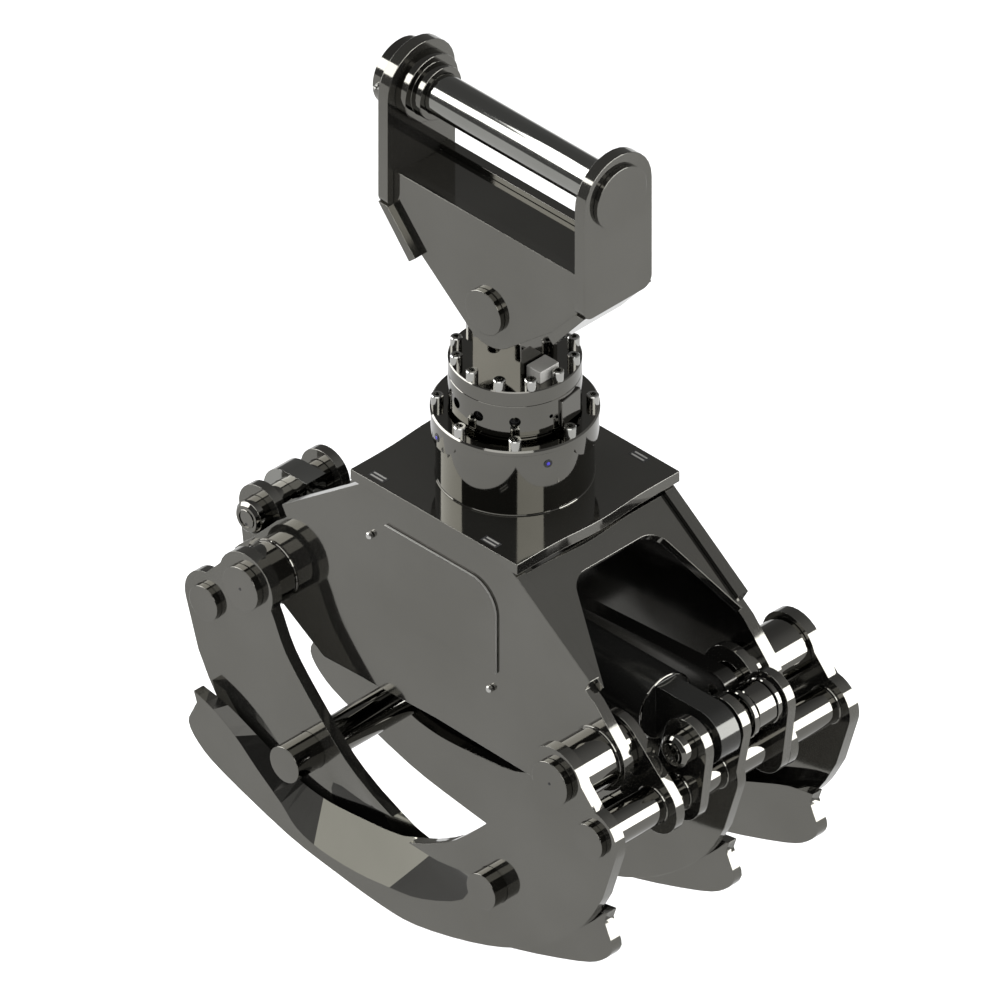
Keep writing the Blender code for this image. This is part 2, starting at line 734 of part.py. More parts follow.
def cover(name, side):
    half = COVER_LENGTH / 2
    z = HOUSING_TOP_Z - COVER_TOP_DROP - COVER_HEIGHT / 2
    tall = COVER_HEIGHT / 2
    corners = [
        (-half, -tall, 0), (half, -tall, 0),
        (half, tall, COVER_CORNER), (-half, tall, 0),
    ]
    face = SIDE_PLATE_OUTER + FIT_GAP if side > 0 else -SIDE_PLATE_OUTER - FIT_GAP - COVER_THICKNESS
    outline = mirrored(rounded(corners), -side)
    plate = upright(name, [outline], face, COVER_THICKNESS, (side * -COVER_SHIFT, z))
    paint_plate(plate)
    return plate


def pivot_hub(name, side, end, outer_face):
    """Bearing hub welded in the housing lug."""
    low = FORK_PLATE_OUTER_FACE + RUNNING_GAP / 2
    high = outer_face - TINE_THICKNESS - RUNNING_GAP / 2
    bore = JAW_PIN_DIAMETER / 2 + FIT_GAP
    span = (low, high) if end > 0 else (-high, -low)
    profile = ring_profile(bore, HUB_DIAMETER / 2, span[0], span[1])
    hub = along_y(name, profile, side * PIVOT_HALF_SPREAD, PIVOT_Z, ring=True)
    paint_machined(hub)
    return hub


def build_housing():
    pieces = [
        rotor_flange(),
        top_plate(),
        side_plate("housing_side_front", -SIDE_PLATE_OUTER),
        side_plate("housing_side_rear", SIDE_PLATE_OUTER - SIDE_PLATE_THICKNESS),
        end_plate("housing_end_left", -1),
        end_plate("housing_end_right", 1),
        cover("housing_cover_front", -1),
        cover("housing_cover_rear", 1),
    ]
    for side, word, face in ((-1, "left", LEFT_OUTER_FACE), (1, "right", RIGHT_OUTER_FACE)):
        for end, end_word in ((-1, "front"), (1, "rear")):
            pieces.append(pivot_hub(f"pivot_hub_{word}_{end_word}", side, end, face))
    return pieces


# Jaws


def tine_edge(shares):
    return [(-inward * TINE_SPAN, -down * TINE_DROP) for inward, down in shares]


def curved_edge(shares):
    return smooth(tine_edge(reversed(shares)), TINE_CURVE_STEPS)


def outer_tine_outline(edge):
    """Outline of an outer tine, whose inner edge differs between its two faces."""
    tube = (TUBE_OUT, -TUBE_DROP)
    return (
        arc((0, 0), PIVOT_LOBE_RADIUS, 200, 15)
        + arc(tube, TUBE_LOBE_RADIUS, 85, -20)
        + curved_edge(TINE_OUTER_SHARES)
        + curved_edge(edge)
        + curved_edge(TINE_THROAT_SHARES)
    )


def centre_tine_outline():
    lever = (LEVER_OUT, LEVER_RISE)
    tube = (TUBE_OUT, -TUBE_DROP)
    return (
        [(-RIB_THROAT_IN, -RIB_THROAT_DROP)]
        + arc(lever, LEVER_LOBE_RADIUS, 210, 0)
        + arc(tube, TUBE_LOBE_RADIUS, 20, -20)
        + curved_edge(TINE_OUTER_SHARES)
        + curved_edge(TINE_EDGE_SHARES)
        + curved_edge(TINE_THROAT_SHARES[RIB_INNER_START_SHARE:])
    )


class Jaw:
    """One jaw: side is 1 on the right and -1 on the left."""

    def __init__(self, word, side, outer_face, centre_face, clevis_face, bar):
        self.word = word
        self.side = side
        self.outer_face = outer_face
        self.centre_face = centre_face
        self.clevis_face = clevis_face
        self.bar = bar
        self.origin = (side * PIVOT_HALF_SPREAD, PIVOT_Z)
        self.tube = (TUBE_OUT, -TUBE_DROP)
        self.lever = (LEVER_OUT, LEVER_RISE)

    def loops(self, outline, holes):
        result = [mirrored(outline, self.side)]
        for centre, diameter in holes:
            result.append(circle((self.side * centre[0], centre[1]), diameter + 2 * FIT_GAP))
        return result

    def plate(self, part, outline, holes, face, thickness):
        loops = self.loops(outline, holes)
        obj = upright(f"{self.word}_{part}", loops, face, thickness, self.origin)
        paint_plate(obj)
        return obj

    def bar_on_y(self, part, centre, profile, ring=False):
        x = self.origin[0] + self.side * centre[0]
        return along_y(f"{self.word}_{part}", profile, x, self.origin[1] + centre[1], ring)

    def outer_tines(self):
        """Front and rear tine, each scooped out along its outer face's inner edge."""
        holes = [((0, 0), JAW_PIN_DIAMETER), (self.tube, TUBE_DIAMETER), (self.bar, STOP_BAR_DIAMETER)]
        plain = self.loops(outer_tine_outline(TINE_EDGE_SHARES), holes)
        scooped = self.loops(outer_tine_outline(TINE_SCOOP_SHARES), holes)
        inner = self.outer_face - TINE_THICKNESS
        tines = [
            lofted(f"{self.word}_tine_front", scooped, plain, -self.outer_face, TINE_THICKNESS, self.origin),
            lofted(f"{self.word}_tine_rear", plain, scooped, inner, TINE_THICKNESS, self.origin),
        ]
        for tine in tines:
            paint_plate(tine)
        return tines

    def centre_tine(self):
        holes = [(self.lever, LEVER_PIN_DIAMETER), (self.tube, TUBE_DIAMETER), (self.bar, STOP_BAR_DIAMETER)]
        return self.plate("tine_centre", centre_tine_outline(), holes, self.centre_face, INNER_PLATE_THICKNESS)

    def fork_plates(self):
        outline = round_ended((0, 0), PIVOT_LOBE_RADIUS, self.tube, TUBE_LOBE_RADIUS)
        holes = [((0, 0), JAW_PIN_DIAMETER), (self.tube, TUBE_DIAMETER)]
        return [
            self.plate("fork_plate_front", outline, holes, -FORK_PLATE_OUTER_FACE, INNER_PLATE_THICKNESS),
            self.plate("fork_plate_rear", outline, holes, FORK_PLATE_INNER_FACE, INNER_PLATE_THICKNESS),
        ]

    def clevis_plate(self):
        outline = round_ended(self.lever, LEVER_LOBE_RADIUS, self.tube, TUBE_LOBE_RADIUS)
        holes = [(self.lever, LEVER_PIN_DIAMETER), (self.tube, TUBE_DIAMETER)]
        return self.plate("clevis_plate", outline, holes, self.clevis_face, INNER_PLATE_THICKNESS)

    def cross_tube(self):
        end = self.outer_face + TUBE_CAP_THICKNESS
        profile = rod_profile(TUBE_DIAMETER / 2, -end, end)
        bar = self.bar_on_y("cross_tube", self.tube, profile)
        paint_machined(bar)
        return bar

    def stop_bar(self):
        end = RIGHT_OUTER_FACE + STOP_BAR_OVERHANG
        bar = self.bar_on_y("stop_bar", self.bar, rod_profile(STOP_BAR_DIAMETER / 2, -end, end))
        paint_machined(bar)
        return bar

    def lever_pin(self):
        near = self.clevis_face - LEVER_PIN_OVERHANG
        far = self.centre_face + INNER_PLATE_THICKNESS + TUBE_CAP_THICKNESS
        profile = rod_profile(LEVER_PIN_DIAMETER / 2, near, far, LEVER_PIN_CHAMFER)
        pin = self.bar_on_y("cylinder_pin", self.lever, profile)
        paint_machined(pin)
        return pin

    def jaw_pin(self, end):
        radius = JAW_PIN_DIAMETER / 2
        head = JAW_PIN_HEAD_DIAMETER / 2
        face = self.outer_face + FIT_GAP
        tip = face + JAW_PIN_HEAD_THICKNESS
        profile = [(0, tip), (head, tip), (head, face), (radius, face),
                   (radius, FORK_PLATE_INNER_FACE), (0, FORK_PLATE_INNER_FACE)]
        if end < 0:
            profile = [(radius, -height) for radius, height in reversed(profile)]
        pin = self.bar_on_y(f"jaw_pin_{'rear' if end > 0 else 'front'}", (0, 0), profile)
        paint_machined(pin)
        return pin

    def build(self):
        return [
            *self.outer_tines(), self.centre_tine(), *self.fork_plates(), self.clevis_plate(),
            self.cross_tube(), self.stop_bar(), self.lever_pin(), self.jaw_pin(-1), self.jaw_pin(1),
        ]


# Cylinder


def lever_place(side):
    return (side * (PIVOT_HALF_SPREAD + LEVER_OUT), CYLINDER_CENTRE, PIVOT_Z + LEVER_RISE)


def eye_blank(name, side, reach):
    """Eye plate around the cylinder pin, with a neck towards the tube."""
    x, y, z = lever_place(side)
    outline = [(-side * reach, -EYE_RADIUS), (0, -EYE_RADIUS)]
    outline += mirrored(arc((0, 0), EYE_RADIUS, -90, 90), side)
    outline += [(-side * reach, EYE_RADIUS)]
    hole = circle((0, 0), LEVER_PIN_DIAMETER + 2 * FIT_GAP)
    return upright(name, [outline, hole], y - EYE_WIDTH / 2, EYE_WIDTH, (x, z))


def cylinder_barrel():
    """Barrel on the right jaw, open at the gland end."""
    x, y, z = lever_place(1)
    base = x - BARREL_BASE_INSET
    mouth = base - BARREL_LENGTH
    outer = BARREL_DIAMETER / 2
    bore = BARREL_BORE / 2
    floor = base - BARREL_BASE_THICKNESS
    rod = ROD_DIAMETER / 2 + FIT_GAP
    gland = GLAND_DIAMETER / 2
    lip = mouth - GLAND_LENGTH
    profile = [
        (0, base), (outer, base), (outer, mouth), (gland, mouth), (gland, lip), (rod, lip),
        (rod, mouth + GLAND_BORE_DEPTH), (bore, mouth + GLAND_BORE_DEPTH), (bore, floor), (0, floor),
    ]
    barrel = along_x("cylinder_barrel", profile, y, z)
    eye = eye_blank("barrel_eye", 1, BARREL_BASE_INSET + BARREL_BASE_THICKNESS / 2)
    boolean(barrel, eye, "UNION")
    paint_barrel(barrel)
    return barrel


def cylinder_rod():
    """Rod and piston on the left jaw."""
    x, y, z = lever_place(-1)
    mouth = lever_place(1)[0] - BARREL_BASE_INSET - BARREL_LENGTH
    rod = ROD_DIAMETER / 2
    piston = BARREL_BORE / 2 - FIT_GAP
    start = x + EYE_RADIUS / 2 + LEVER_PIN_DIAMETER / 4
    crown = mouth + GLAND_BORE_DEPTH + PISTON_LENGTH * 2
    skirt = crown - PISTON_LENGTH
    profile = [(0, crown), (piston, crown), (piston, skirt), (rod, skirt), (rod, start), (0, start)]
    shaft = along_x("cylinder_rod", profile, y, z)
    boolean(shaft, eye_blank("rod_eye", -1, EYE_RADIUS), "UNION")
    paint_chrome(shaft)
    return shaft


# Synchronising link


def crank_place(side):
    """Link pin of a jaw at rest, from its pivot: above on the right, below on the left."""
    lean = math.radians(JAW_SWING_DEGREES / 2)
    return (SYNC_CRANK * math.sin(lean), side * SYNC_CRANK * math.cos(lean))


def sync_link():
    right = crank_place(1)
    left = crank_place(-1)
    start = (PIVOT_HALF_SPREAD + right[0], right[1])
    sag = SYNC_CRANK * (1 - math.cos(math.radians(JAW_SWING_DEGREES / 2)))
    end = (left[0] - PIVOT_HALF_SPREAD, left[1] - sag)
    outline = round_ended((0, 0), SYNC_EYE_RADIUS, (end[0] - start[0], end[1] - start[1]), SYNC_EYE_RADIUS)
    hole = circle((0, 0), SYNC_PIN_DIAMETER + 2 * FIT_GAP)
    far_hole = circle((end[0] - start[0], end[1] - start[1]), SYNC_PIN_DIAMETER + 2 * SYNC_OPEN_CLEARANCE)
    link = upright("sync_link", [outline, hole, far_hole], SYNC_FACE, SYNC_WIDTH, (start[0], PIVOT_Z + start[1]))
    paint_plate(link)
    return link


def sync_pin(name, side):
    """Link pin held in the rear fork plate of its jaw."""
    place = crank_place(side)
    near = SYNC_FACE
    far = FORK_PLATE_INNER_FACE - FIT_GAP
    profile = rod_profile(SYNC_PIN_DIAMETER / 2, near, far)
    pin = along_y(name, profile, side * PIVOT_HALF_SPREAD + place[0], PIVOT_Z + place[1])
    paint_machined(pin)
    return pin


# Assembly


def build_jaw(jaw, extra):
    pieces = jaw.build() + extra
    empty = axis_empty(f"{jaw.word}_jaw_axis", (jaw.origin[0], 0, jaw.origin[1]))
    hang(pieces, empty)
    return empty


def build_grapple():
    build_hanger()
    swing = axis_empty("swing_axis", (0, 0, -SWING_PIN_DROP))
    hang([rotator_body()], swing)
    turn = axis_empty("turn_axis", (0, 0, HOUSING_TOP_Z))
    hang(build_housing(), turn)
    right = Jaw("right", 1, RIGHT_OUTER_FACE, RIGHT_CENTRE_TINE_FACE, RIGHT_CLEVIS_FACE,
                (-RIGHT_STOP_BAR_IN, -RIGHT_STOP_BAR_DROP))
    left = Jaw("left", -1, LEFT_OUTER_FACE, LEFT_CENTRE_TINE_FACE, LEFT_CLEVIS_FACE,
               (-LEFT_STOP_BAR_IN, -LEFT_STOP_BAR_DROP))
    right_axis = build_jaw(right, [sync_pin("right_sync_pin", 1)])
    left_axis = build_jaw(left, [sync_pin("left_sync_pin", -1)])
    barrel_axis = axis_empty("barrel_axis", lever_place(1))
    hang([cylinder_barrel()], barrel_axis)
    rod_axis = axis_empty("rod_axis", lever_place(-1))
    hang([cylinder_rod()], rod_axis)
    place = crank_place(1)
    link_axis = axis_empty("link_axis", (PIVOT_HALF_SPREAD + place[0], 0, PIVOT_Z + place[1]))
    hang([sync_link()], link_axis)
    hang([turn], swing)
    hang([right_axis, left_axis], turn)
    hang([barrel_axis, link_axis], right_axis)
    hang([rod_axis], left_axis)


build_grapple()
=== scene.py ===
# Looks of the log grapple: finishes, screws, fittings, weld beads, floor, lamps and camera.

import json
import math

import bmesh
import bpy
from mathutils import Matrix, Vector

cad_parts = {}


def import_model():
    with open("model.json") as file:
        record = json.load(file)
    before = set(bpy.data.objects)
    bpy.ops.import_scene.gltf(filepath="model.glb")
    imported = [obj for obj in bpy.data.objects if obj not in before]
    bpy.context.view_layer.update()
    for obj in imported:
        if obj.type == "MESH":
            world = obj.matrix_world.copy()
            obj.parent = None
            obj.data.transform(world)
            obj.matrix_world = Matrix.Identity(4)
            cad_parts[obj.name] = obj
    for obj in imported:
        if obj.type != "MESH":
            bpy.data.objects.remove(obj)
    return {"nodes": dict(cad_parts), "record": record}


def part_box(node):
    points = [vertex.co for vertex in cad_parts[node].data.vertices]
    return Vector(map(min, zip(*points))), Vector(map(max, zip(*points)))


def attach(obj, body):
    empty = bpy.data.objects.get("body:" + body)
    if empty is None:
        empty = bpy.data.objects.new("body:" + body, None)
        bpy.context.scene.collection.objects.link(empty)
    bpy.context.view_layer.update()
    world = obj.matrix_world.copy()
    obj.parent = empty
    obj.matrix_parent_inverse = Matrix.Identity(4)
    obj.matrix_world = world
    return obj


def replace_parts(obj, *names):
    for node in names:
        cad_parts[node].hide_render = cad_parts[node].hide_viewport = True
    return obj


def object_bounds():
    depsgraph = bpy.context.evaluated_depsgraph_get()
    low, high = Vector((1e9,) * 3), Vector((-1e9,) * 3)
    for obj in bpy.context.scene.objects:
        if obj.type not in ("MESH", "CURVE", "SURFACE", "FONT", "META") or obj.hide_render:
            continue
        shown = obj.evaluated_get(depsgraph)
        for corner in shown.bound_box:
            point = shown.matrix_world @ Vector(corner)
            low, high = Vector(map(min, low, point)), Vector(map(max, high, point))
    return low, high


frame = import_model()
CAD_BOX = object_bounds()
NODES = frame["nodes"]
BODY_OF = {node: body for body, group in frame["record"]["behaviour"]["bodies"].items() for node in group}


def centre_of(node):
    low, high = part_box(node)
    return (Vector(low) + Vector(high)) / 2


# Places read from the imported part
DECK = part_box("housing_top_plate")[1].z
FLANGE_LOW, FLANGE_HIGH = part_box("rotor_flange")
SWING_PIN = centre_of("swing_pin")
LEVER_PIN = centre_of("right_cylinder_pin")
RIGHT_TUBE = centre_of("right_cross_tube")
FORK_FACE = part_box("right_fork_plate_rear")[0].y
SIDE_FACE = -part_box("housing_side_front")[0].y
EAR_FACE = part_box("hanger_ear_right")[1].x

# Photograph
PHOTO_SIZE = 1000
PIXELS_PER_METRE = 900.0
AXIS_PIXEL = 515
DECK_PIXEL = 470
CAMERA_DISTANCE = 4.0
CAMERA_REACH = 50.0
CAMERA_SIDE = Vector((1, -1, 1)).normalized()

# Room
# The grapple hangs: its open jaws reach lower than the shut ones.
FLOOR_GAP = 0.38
FLOOR_SIZE = 30.0
FLOOR_GREY = 0.88
FLOOR_ROUGHNESS = 0.9

# Lamps: azimuth and elevation in degrees, width and height in metres, radiance
LAMP_AIM = Vector((0, 0, -0.6))
LAMP_DISTANCE = 2.6
LAMPS = {
    "wall_light": (29, 13, 1.32, 1.8, 10),
    "key_light": (207, 24, 2.0, 2.3, 8.5),
    "side_light": (-23, 36, 1.4, 1.1, 6.5),
}
SUN_SIDE = (0.1, -0.2, 1)
SUN_STRENGTH = 1.9
SUN_SPREAD = math.radians(60)
WORLD_SIDE = (0.5, 0.5, 0.0)
WORLD_SHADES = [(0.0, 0.17), (0.2, 0.22), (0.5, 0.46), (0.7, 0.55)]

# Meshes
EDGE_BREAK = 0.0007
BLOCK_EDGE_BREAK = 0.0012
SMOOTH_ANGLE = math.radians(28)
FLAT_ANGLE = math.radians(0.5)
CAD_MERGE = 0.00002
TURN_MERGE = 0.00001
# A face counts as facing an axis from this share of its normal on.
FACING_SHARE = 0.9


# Materials

DRIFT_SCALE = 6.0
DRIFT_DETAIL = 5.0
DRIFT_ENDS = (0.35, 0.65)
SHEEN_SCALE = 17.0
SHEEN_DETAIL = 6.0
SHEEN_ROUGHNESS = 0.6
SHEEN_ENDS = (0.3, 0.7)
GRAIN_SCALE = 340.0
GRAIN_DETAIL = 3.0
GRAIN_DEPTH = 0.0003


def material(name):
    new = bpy.data.materials.new(name)
    new.use_nodes = True
    return new, new.node_tree, new.node_tree.nodes["Principled BSDF"]


def noise(tree, scale, detail, rough=0.5):
    place_node = tree.nodes.new("ShaderNodeTexCoord")
    node = tree.nodes.new("ShaderNodeTexNoise")
    node.inputs["Scale"].default_value = scale
    node.inputs["Detail"].default_value = detail
    node.inputs["Roughness"].default_value = rough
    tree.links.new(place_node.outputs["Object"], node.inputs["Vector"])
    return node.outputs["Fac"]


def ramp(tree, source, stops):
    """Colour ramp from (position, colour) stops; a colour may be one grey value."""
    node = tree.nodes.new("ShaderNodeValToRGB")
    ends = node.color_ramp.elements
    while len(ends) < len(stops):
        ends.new(0.5)
    for end, (position, colour) in zip(ends, stops):
        if isinstance(colour, float):
            colour = (colour, colour, colour)
        end.position = position
        end.color = (*colour, 1.0)
    tree.links.new(source, node.inputs["Fac"])
    return node.outputs["Color"]


def bump(tree, shader, source, strength, distance):
    node = tree.nodes.new("ShaderNodeBump")
    node.inputs["Strength"].default_value = strength
    node.inputs["Distance"].default_value = distance
    tree.links.new(source, node.inputs["Height"])
    tree.links.new(node.outputs["Normal"], shader.inputs["Normal"])


def steel(name, dark, light, metallic, rough_low, rough_high, grain=0.02):
    """Steel with a slow drift of tone, a patchy sheen and a fine grain."""
    new, tree, shader = material(name)
    drift = noise(tree, DRIFT_SCALE, DRIFT_DETAIL)
    tone = ramp(tree, drift, list(zip(DRIFT_ENDS, (dark, light))))
    tree.links.new(tone, shader.inputs["Base Color"])
    sheen = noise(tree, SHEEN_SCALE, SHEEN_DETAIL, SHEEN_ROUGHNESS)
    gloss = ramp(tree, sheen, list(zip(SHEEN_ENDS, (rough_low, rough_high))))
    tree.links.new(gloss, shader.inputs["Roughness"])
    shader.inputs["Metallic"].default_value = metallic
    bump(tree, shader, noise(tree, GRAIN_SCALE, GRAIN_DETAIL), grain, GRAIN_DEPTH)
    return new


# Name, dark and light tone, metallic value, least and most roughness, and grain
MATERIALS = {
    "plate": steel("plate_gloss", (0.124, 0.121, 0.109), (0.138, 0.135, 0.123), 0.95, 0.045, 0.075),
    "machined": steel("machined_steel", (0.130, 0.127, 0.115), (0.150, 0.146, 0.134), 1.0, 0.045, 0.08),
    "pin": steel("pin_steel", (0.130, 0.127, 0.115), (0.150, 0.146, 0.134), 1.0, 0.04, 0.07),
    # Painted highlight: a lighter, rougher steel for the bright middle of the outer tines' scooped flanks.
    "scoop_highlight": steel("painted_highlight_steel", (0.250, 0.245, 0.208), (0.275, 0.268, 0.230), 1.0, 0.16, 0.24),
    # Painted shade: a dark steel for the ends of the tines' scooped flanks, the sync link and the side
    # plates' inner faces.
    "dark": steel("painted_shade_steel", (0.040, 0.039, 0.036), (0.050, 0.049, 0.045), 0.95, 0.10, 0.16),
    "chrome": steel("chromed_steel", (0.23, 0.23, 0.215), (0.26, 0.26, 0.245), 1.0, 0.06, 0.10, 0.01),
    "barrel": steel("cylinder_paint", (0.052, 0.052, 0.049), (0.062, 0.062, 0.058), 0.9, 0.10, 0.16),
    "screw": steel("screw_steel", (0.36, 0.36, 0.34), (0.46, 0.455, 0.44), 1.0, 0.14, 0.22),
    # Painted shade: near black stands for the shade inside holes, slots and bores.
    "hole_shade": steel("painted_hole_shade", (0.010, 0.010, 0.011), (0.016, 0.016, 0.016), 0.2, 0.45, 0.60),
    "weld": steel("weld_bead", (0.20, 0.197, 0.185), (0.28, 0.275, 0.26), 0.25, 0.40, 0.55, 0.2),
    "blue": steel("port_plug", (0.03, 0.02, 0.30), (0.04, 0.03, 0.42), 0.0, 0.30, 0.40),
}

TURNED_NODES = ("rotator_body", "rotor_flange")
CHROME_NODES = ("hanger_top_pin", "cylinder_rod")
MACHINED_NODES = (*TURNED_NODES, "hanger_pin_collar")
PIN_WORDS = ("swing_pin", "pivot_hub", "cross_tube", "stop_bar", "cylinder_pin", "jaw_pin", "sync_pin")
OUTER_TINES = ("tine_front", "tine_rear")


def finish_of(node):
    if node in CHROME_NODES:
        return "chrome"
    if node in MACHINED_NODES:
        return "machined"
    if node == "cylinder_barrel":
        return "barrel"
    # Painted shade: the sync link is given the dark steel to stand for the shade on it.
    if node == "sync_link":
        return "dark"
    if any(word in node for word in PIN_WORDS):
        return "pin"
    return "plate"


# Pieces


def paint(obj, finish):
    obj.data.materials.clear()
    obj.data.materials.append(MATERIALS[finish])


def new_piece(name, mesh, body, finish):
    obj = bpy.data.objects.new(name, mesh)
    bpy.context.scene.collection.objects.link(obj)
    paint(obj, finish)
    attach(obj, body)
    return obj


def shade(mesh):
    mesh.shade_smooth()
    mesh.set_sharp_from_angle(angle=SMOOTH_ANGLE)


def finish_mesh(work, mesh):
    bmesh.ops.recalc_face_normals(work, faces=work.faces)
    work.to_mesh(mesh)
    work.free()
    return mesh


def apply_modifiers(obj):
    bpy.context.view_layer.update()
    graph = bpy.context.evaluated_depsgraph_get()
    mesh = bpy.data.meshes.new_from_object(obj.evaluated_get(graph))
    obj.modifiers.clear()
    obj.data = mesh


def break_edges(obj, width=EDGE_BREAK):
    edge = obj.modifiers.new("edge_break", "BEVEL")
    edge.width = width
    edge.segments = 2
    edge.limit_method = "ANGLE"
    edge.angle_limit = SMOOTH_ANGLE
    edge.harden_normals = True
    shade(obj.data)
    apply_modifiers(obj)


# Surfaces that differ from the solid's

# The side plates' lugs, with angles around the pivot in degrees
SIDE_LUG_RADIUS = 0.043
SIDE_LUG_TOLERANCE = 0.0015
SIDE_LUG_START = 40
SIDE_LUG_END = 124
SIDE_LUG_SWEEP = 80
SHOULDER_INSET = 0.004
SHOULDER_DROP = 0.132

WINDOW_HALF_WIDTH = 0.100
WINDOW_TOP_DROP = 0.030
WINDOW_RISE = 0.014
WINDOW_SHIFT = 0.007
END_SLOPE = (0.805, 0.593)

COVER_GAP = 0.0003
COVER_THICKNESS = 0.0032
COVER_INNER_ZONE = 0.002
COVER_ROUND_SIDE = 0.040
COVER_SHORTER = 0.021

EAR_FOOT_ZONE = 0.015
EAR_LONGER = 0.005

# Cuts across a tine's scooped flank, at the ends of its painted highlight: x, z and direction (across, rise)
# for the right jaw
SCOOP_TIP_DROP = 0.431
SCOOP_CUTS = ((-0.125, DECK, 1.0, 0.0), (0.030, DECK - SCOOP_TIP_DROP, 0.776, -0.630))
SCOOP_SLOPES = (0.15, 0.998)


def fill_lugs(mesh):
    """The side plate's edge runs straight from the shoulder to the lug's round end."""
    hub = centre_of("pivot_hub_right_front")
    start = math.radians(SIDE_LUG_START)
    far = Vector((hub.x + SIDE_LUG_RADIUS * math.cos(start), hub.z + SIDE_LUG_RADIUS * math.sin(start)))
    near = Vector((hub.x - SHOULDER_INSET, DECK - SHOULDER_DROP))
    for vert in mesh.vertices:
        side = 1 if vert.co.x > 0 else -1
        across = side * vert.co.x - hub.x
        rise = vert.co.z - hub.z
        angle = math.degrees(math.atan2(rise, across))
        on_round = abs(math.hypot(across, rise) - SIDE_LUG_RADIUS) < SIDE_LUG_TOLERANCE
        if on_round and SIDE_LUG_START < angle < SIDE_LUG_END:
            spot = far.lerp(near, (angle - SIDE_LUG_START) / SIDE_LUG_SWEEP)
            vert.co.x = side * spot.x
            vert.co.z = spot.y


def raise_window(mesh):
    """The end plate's window reaches nearly to the top plate."""
    across, rise = END_SLOPE
    for vert in mesh.vertices:
        if abs(vert.co.y) < WINDOW_HALF_WIDTH and vert.co.z < DECK - WINDOW_TOP_DROP:
            side = 1 if vert.co.x > 0 else -1
            vert.co.x -= side * across * WINDOW_RISE
            vert.co.y += side * WINDOW_SHIFT
            vert.co.z += rise * WINDOW_RISE


def thin_cover(mesh):
    """The cover is a thin plate, shorter on its rounded side."""
    side = -1 if mesh.vertices[0].co.y < 0 else 1
    face = SIDE_FACE + COVER_GAP
    for vert in mesh.vertices:
        if abs(vert.co.y) > face + COVER_INNER_ZONE:
            vert.co.y = side * (face + COVER_THICKNESS)
        if -side * vert.co.x > COVER_ROUND_SIDE:
            vert.co.x += side * COVER_SHORTER


def lengthen_ear(mesh):
    low = min(vert.co.z for vert in mesh.vertices)
    for vert in mesh.vertices:
        if vert.co.z < low + EAR_FOOT_ZONE:
            vert.co.z -= EAR_LONGER


def past_scoop_cut(point, side, cut):
    """How far a point lies beyond a cut across a tine's flank, towards the jaw's own pivot."""
    x, z, across, rise = cut
    return across * (side * point.x - x) + rise * (point.z - z)


def split_scoop(work, side):
    """Cut an outer tine along the ends of its scoop's painted highlight."""
    for x, z, across, rise in SCOOP_CUTS:
        bmesh.ops.bisect_plane(work, geom=work.verts[:] + work.edges[:] + work.faces[:],
                               plane_co=(side * x, 0, z), plane_no=(side * across, 0, rise))


def paint_scoop_light_and_shade(obj, side):
    """An outer tine's scooped flank gets a painted highlight in the middle and painted shade at both ends."""
    obj.data.materials.append(MATERIALS["scoop_highlight"])
    obj.data.materials.append(MATERIALS["dark"])
    steep, flat = SCOOP_SLOPES
    for face in obj.data.polygons:
        if steep < abs(face.normal.y) < flat:
            start, end = (past_scoop_cut(face.center, side, cut) for cut in SCOOP_CUTS)
            face.material_index = 1 if start > 0 > end else 2


def side_of(node):
    return 1 if node.startswith("right") else -1


def dress_node(node):
    """Copy a CAD node, join its facets into whole faces and break its sharp edges."""
    mesh = NODES[node].data.copy()
    if node.startswith("housing_side"):
        fill_lugs(mesh)
    if node.startswith("housing_end"):
        raise_window(mesh)
    if node.startswith("housing_cover"):
        thin_cover(mesh)
    if node.startswith("hanger_ear"):
        lengthen_ear(mesh)
    work = bmesh.new()
    work.from_mesh(mesh)
    bmesh.ops.remove_doubles(work, verts=work.verts, dist=CAD_MERGE)
    bmesh.ops.dissolve_limit(work, angle_limit=FLAT_ANGLE, verts=work.verts, edges=work.edges)
    if node.endswith(OUTER_TINES):
        split_scoop(work, side_of(node))
    work.to_mesh(mesh)
    work.free()
    obj = new_piece(node + "_dressed", mesh, BODY_OF[node], finish_of(node))
    if node.endswith(OUTER_TINES):
        paint_scoop_light_and_shade(obj, side_of(node))
    break_edges(obj)
    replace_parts(obj, node)
    return obj


def paint_faces(obj, finish, chosen):
    """Give a second finish to the faces for which chosen(face) holds."""
    obj.data.materials.append(MATERIALS[finish])
    for face in obj.data.polygons:
        if chosen(face):
            face.material_index = 1


def faces_inwards(face):
    return abs(face.normal.y) > FACING_SHARE and face.normal.y * face.center.y < 0


def is_rim(face):
    return abs(face.normal.y) < FACING_SHARE


def is_past_ear(face):
    return abs(face.center.x) > EAR_FACE


def dress_all():
    for node in NODES:
        NODES[node].data.materials.clear()
        NODES[node].data.materials.append(MATERIALS[finish_of(node)])
        if node not in TURNED_NODES:
            obj = dress_node(node)
            if node == "hanger_top_pin":
                paint_faces(obj, "plate", is_past_ear)
            if node.startswith("housing_cover"):
                paint_faces(obj, "weld", is_rim)
            # Painted shade: the side plates' faces towards the inside of the housing get the dark steel.
            if node.startswith("housing_side"):
                paint_faces(obj, "dark", faces_inwards)


# Shapes

# Broken rims of turned pieces
WIDE_RIM = 0.0012
BOSS_RIM = 0.001
RIM = 0.0005
THIN_RIM = 0.0004
THINNER_RIM = 0.0002
FINE_RIM = 0.0001

# Steps around a turned piece
DOT_STEPS = 16
HOLE_STEPS = 20
CIRCLE_STEPS = 24
BOSS_STEPS = 48
HUB_STEPS = 64
TURNED_STEPS = 96

# How deep a flat dark dot of painted shade that stands for a hole is sunk
DOT_SINK = 0.0001


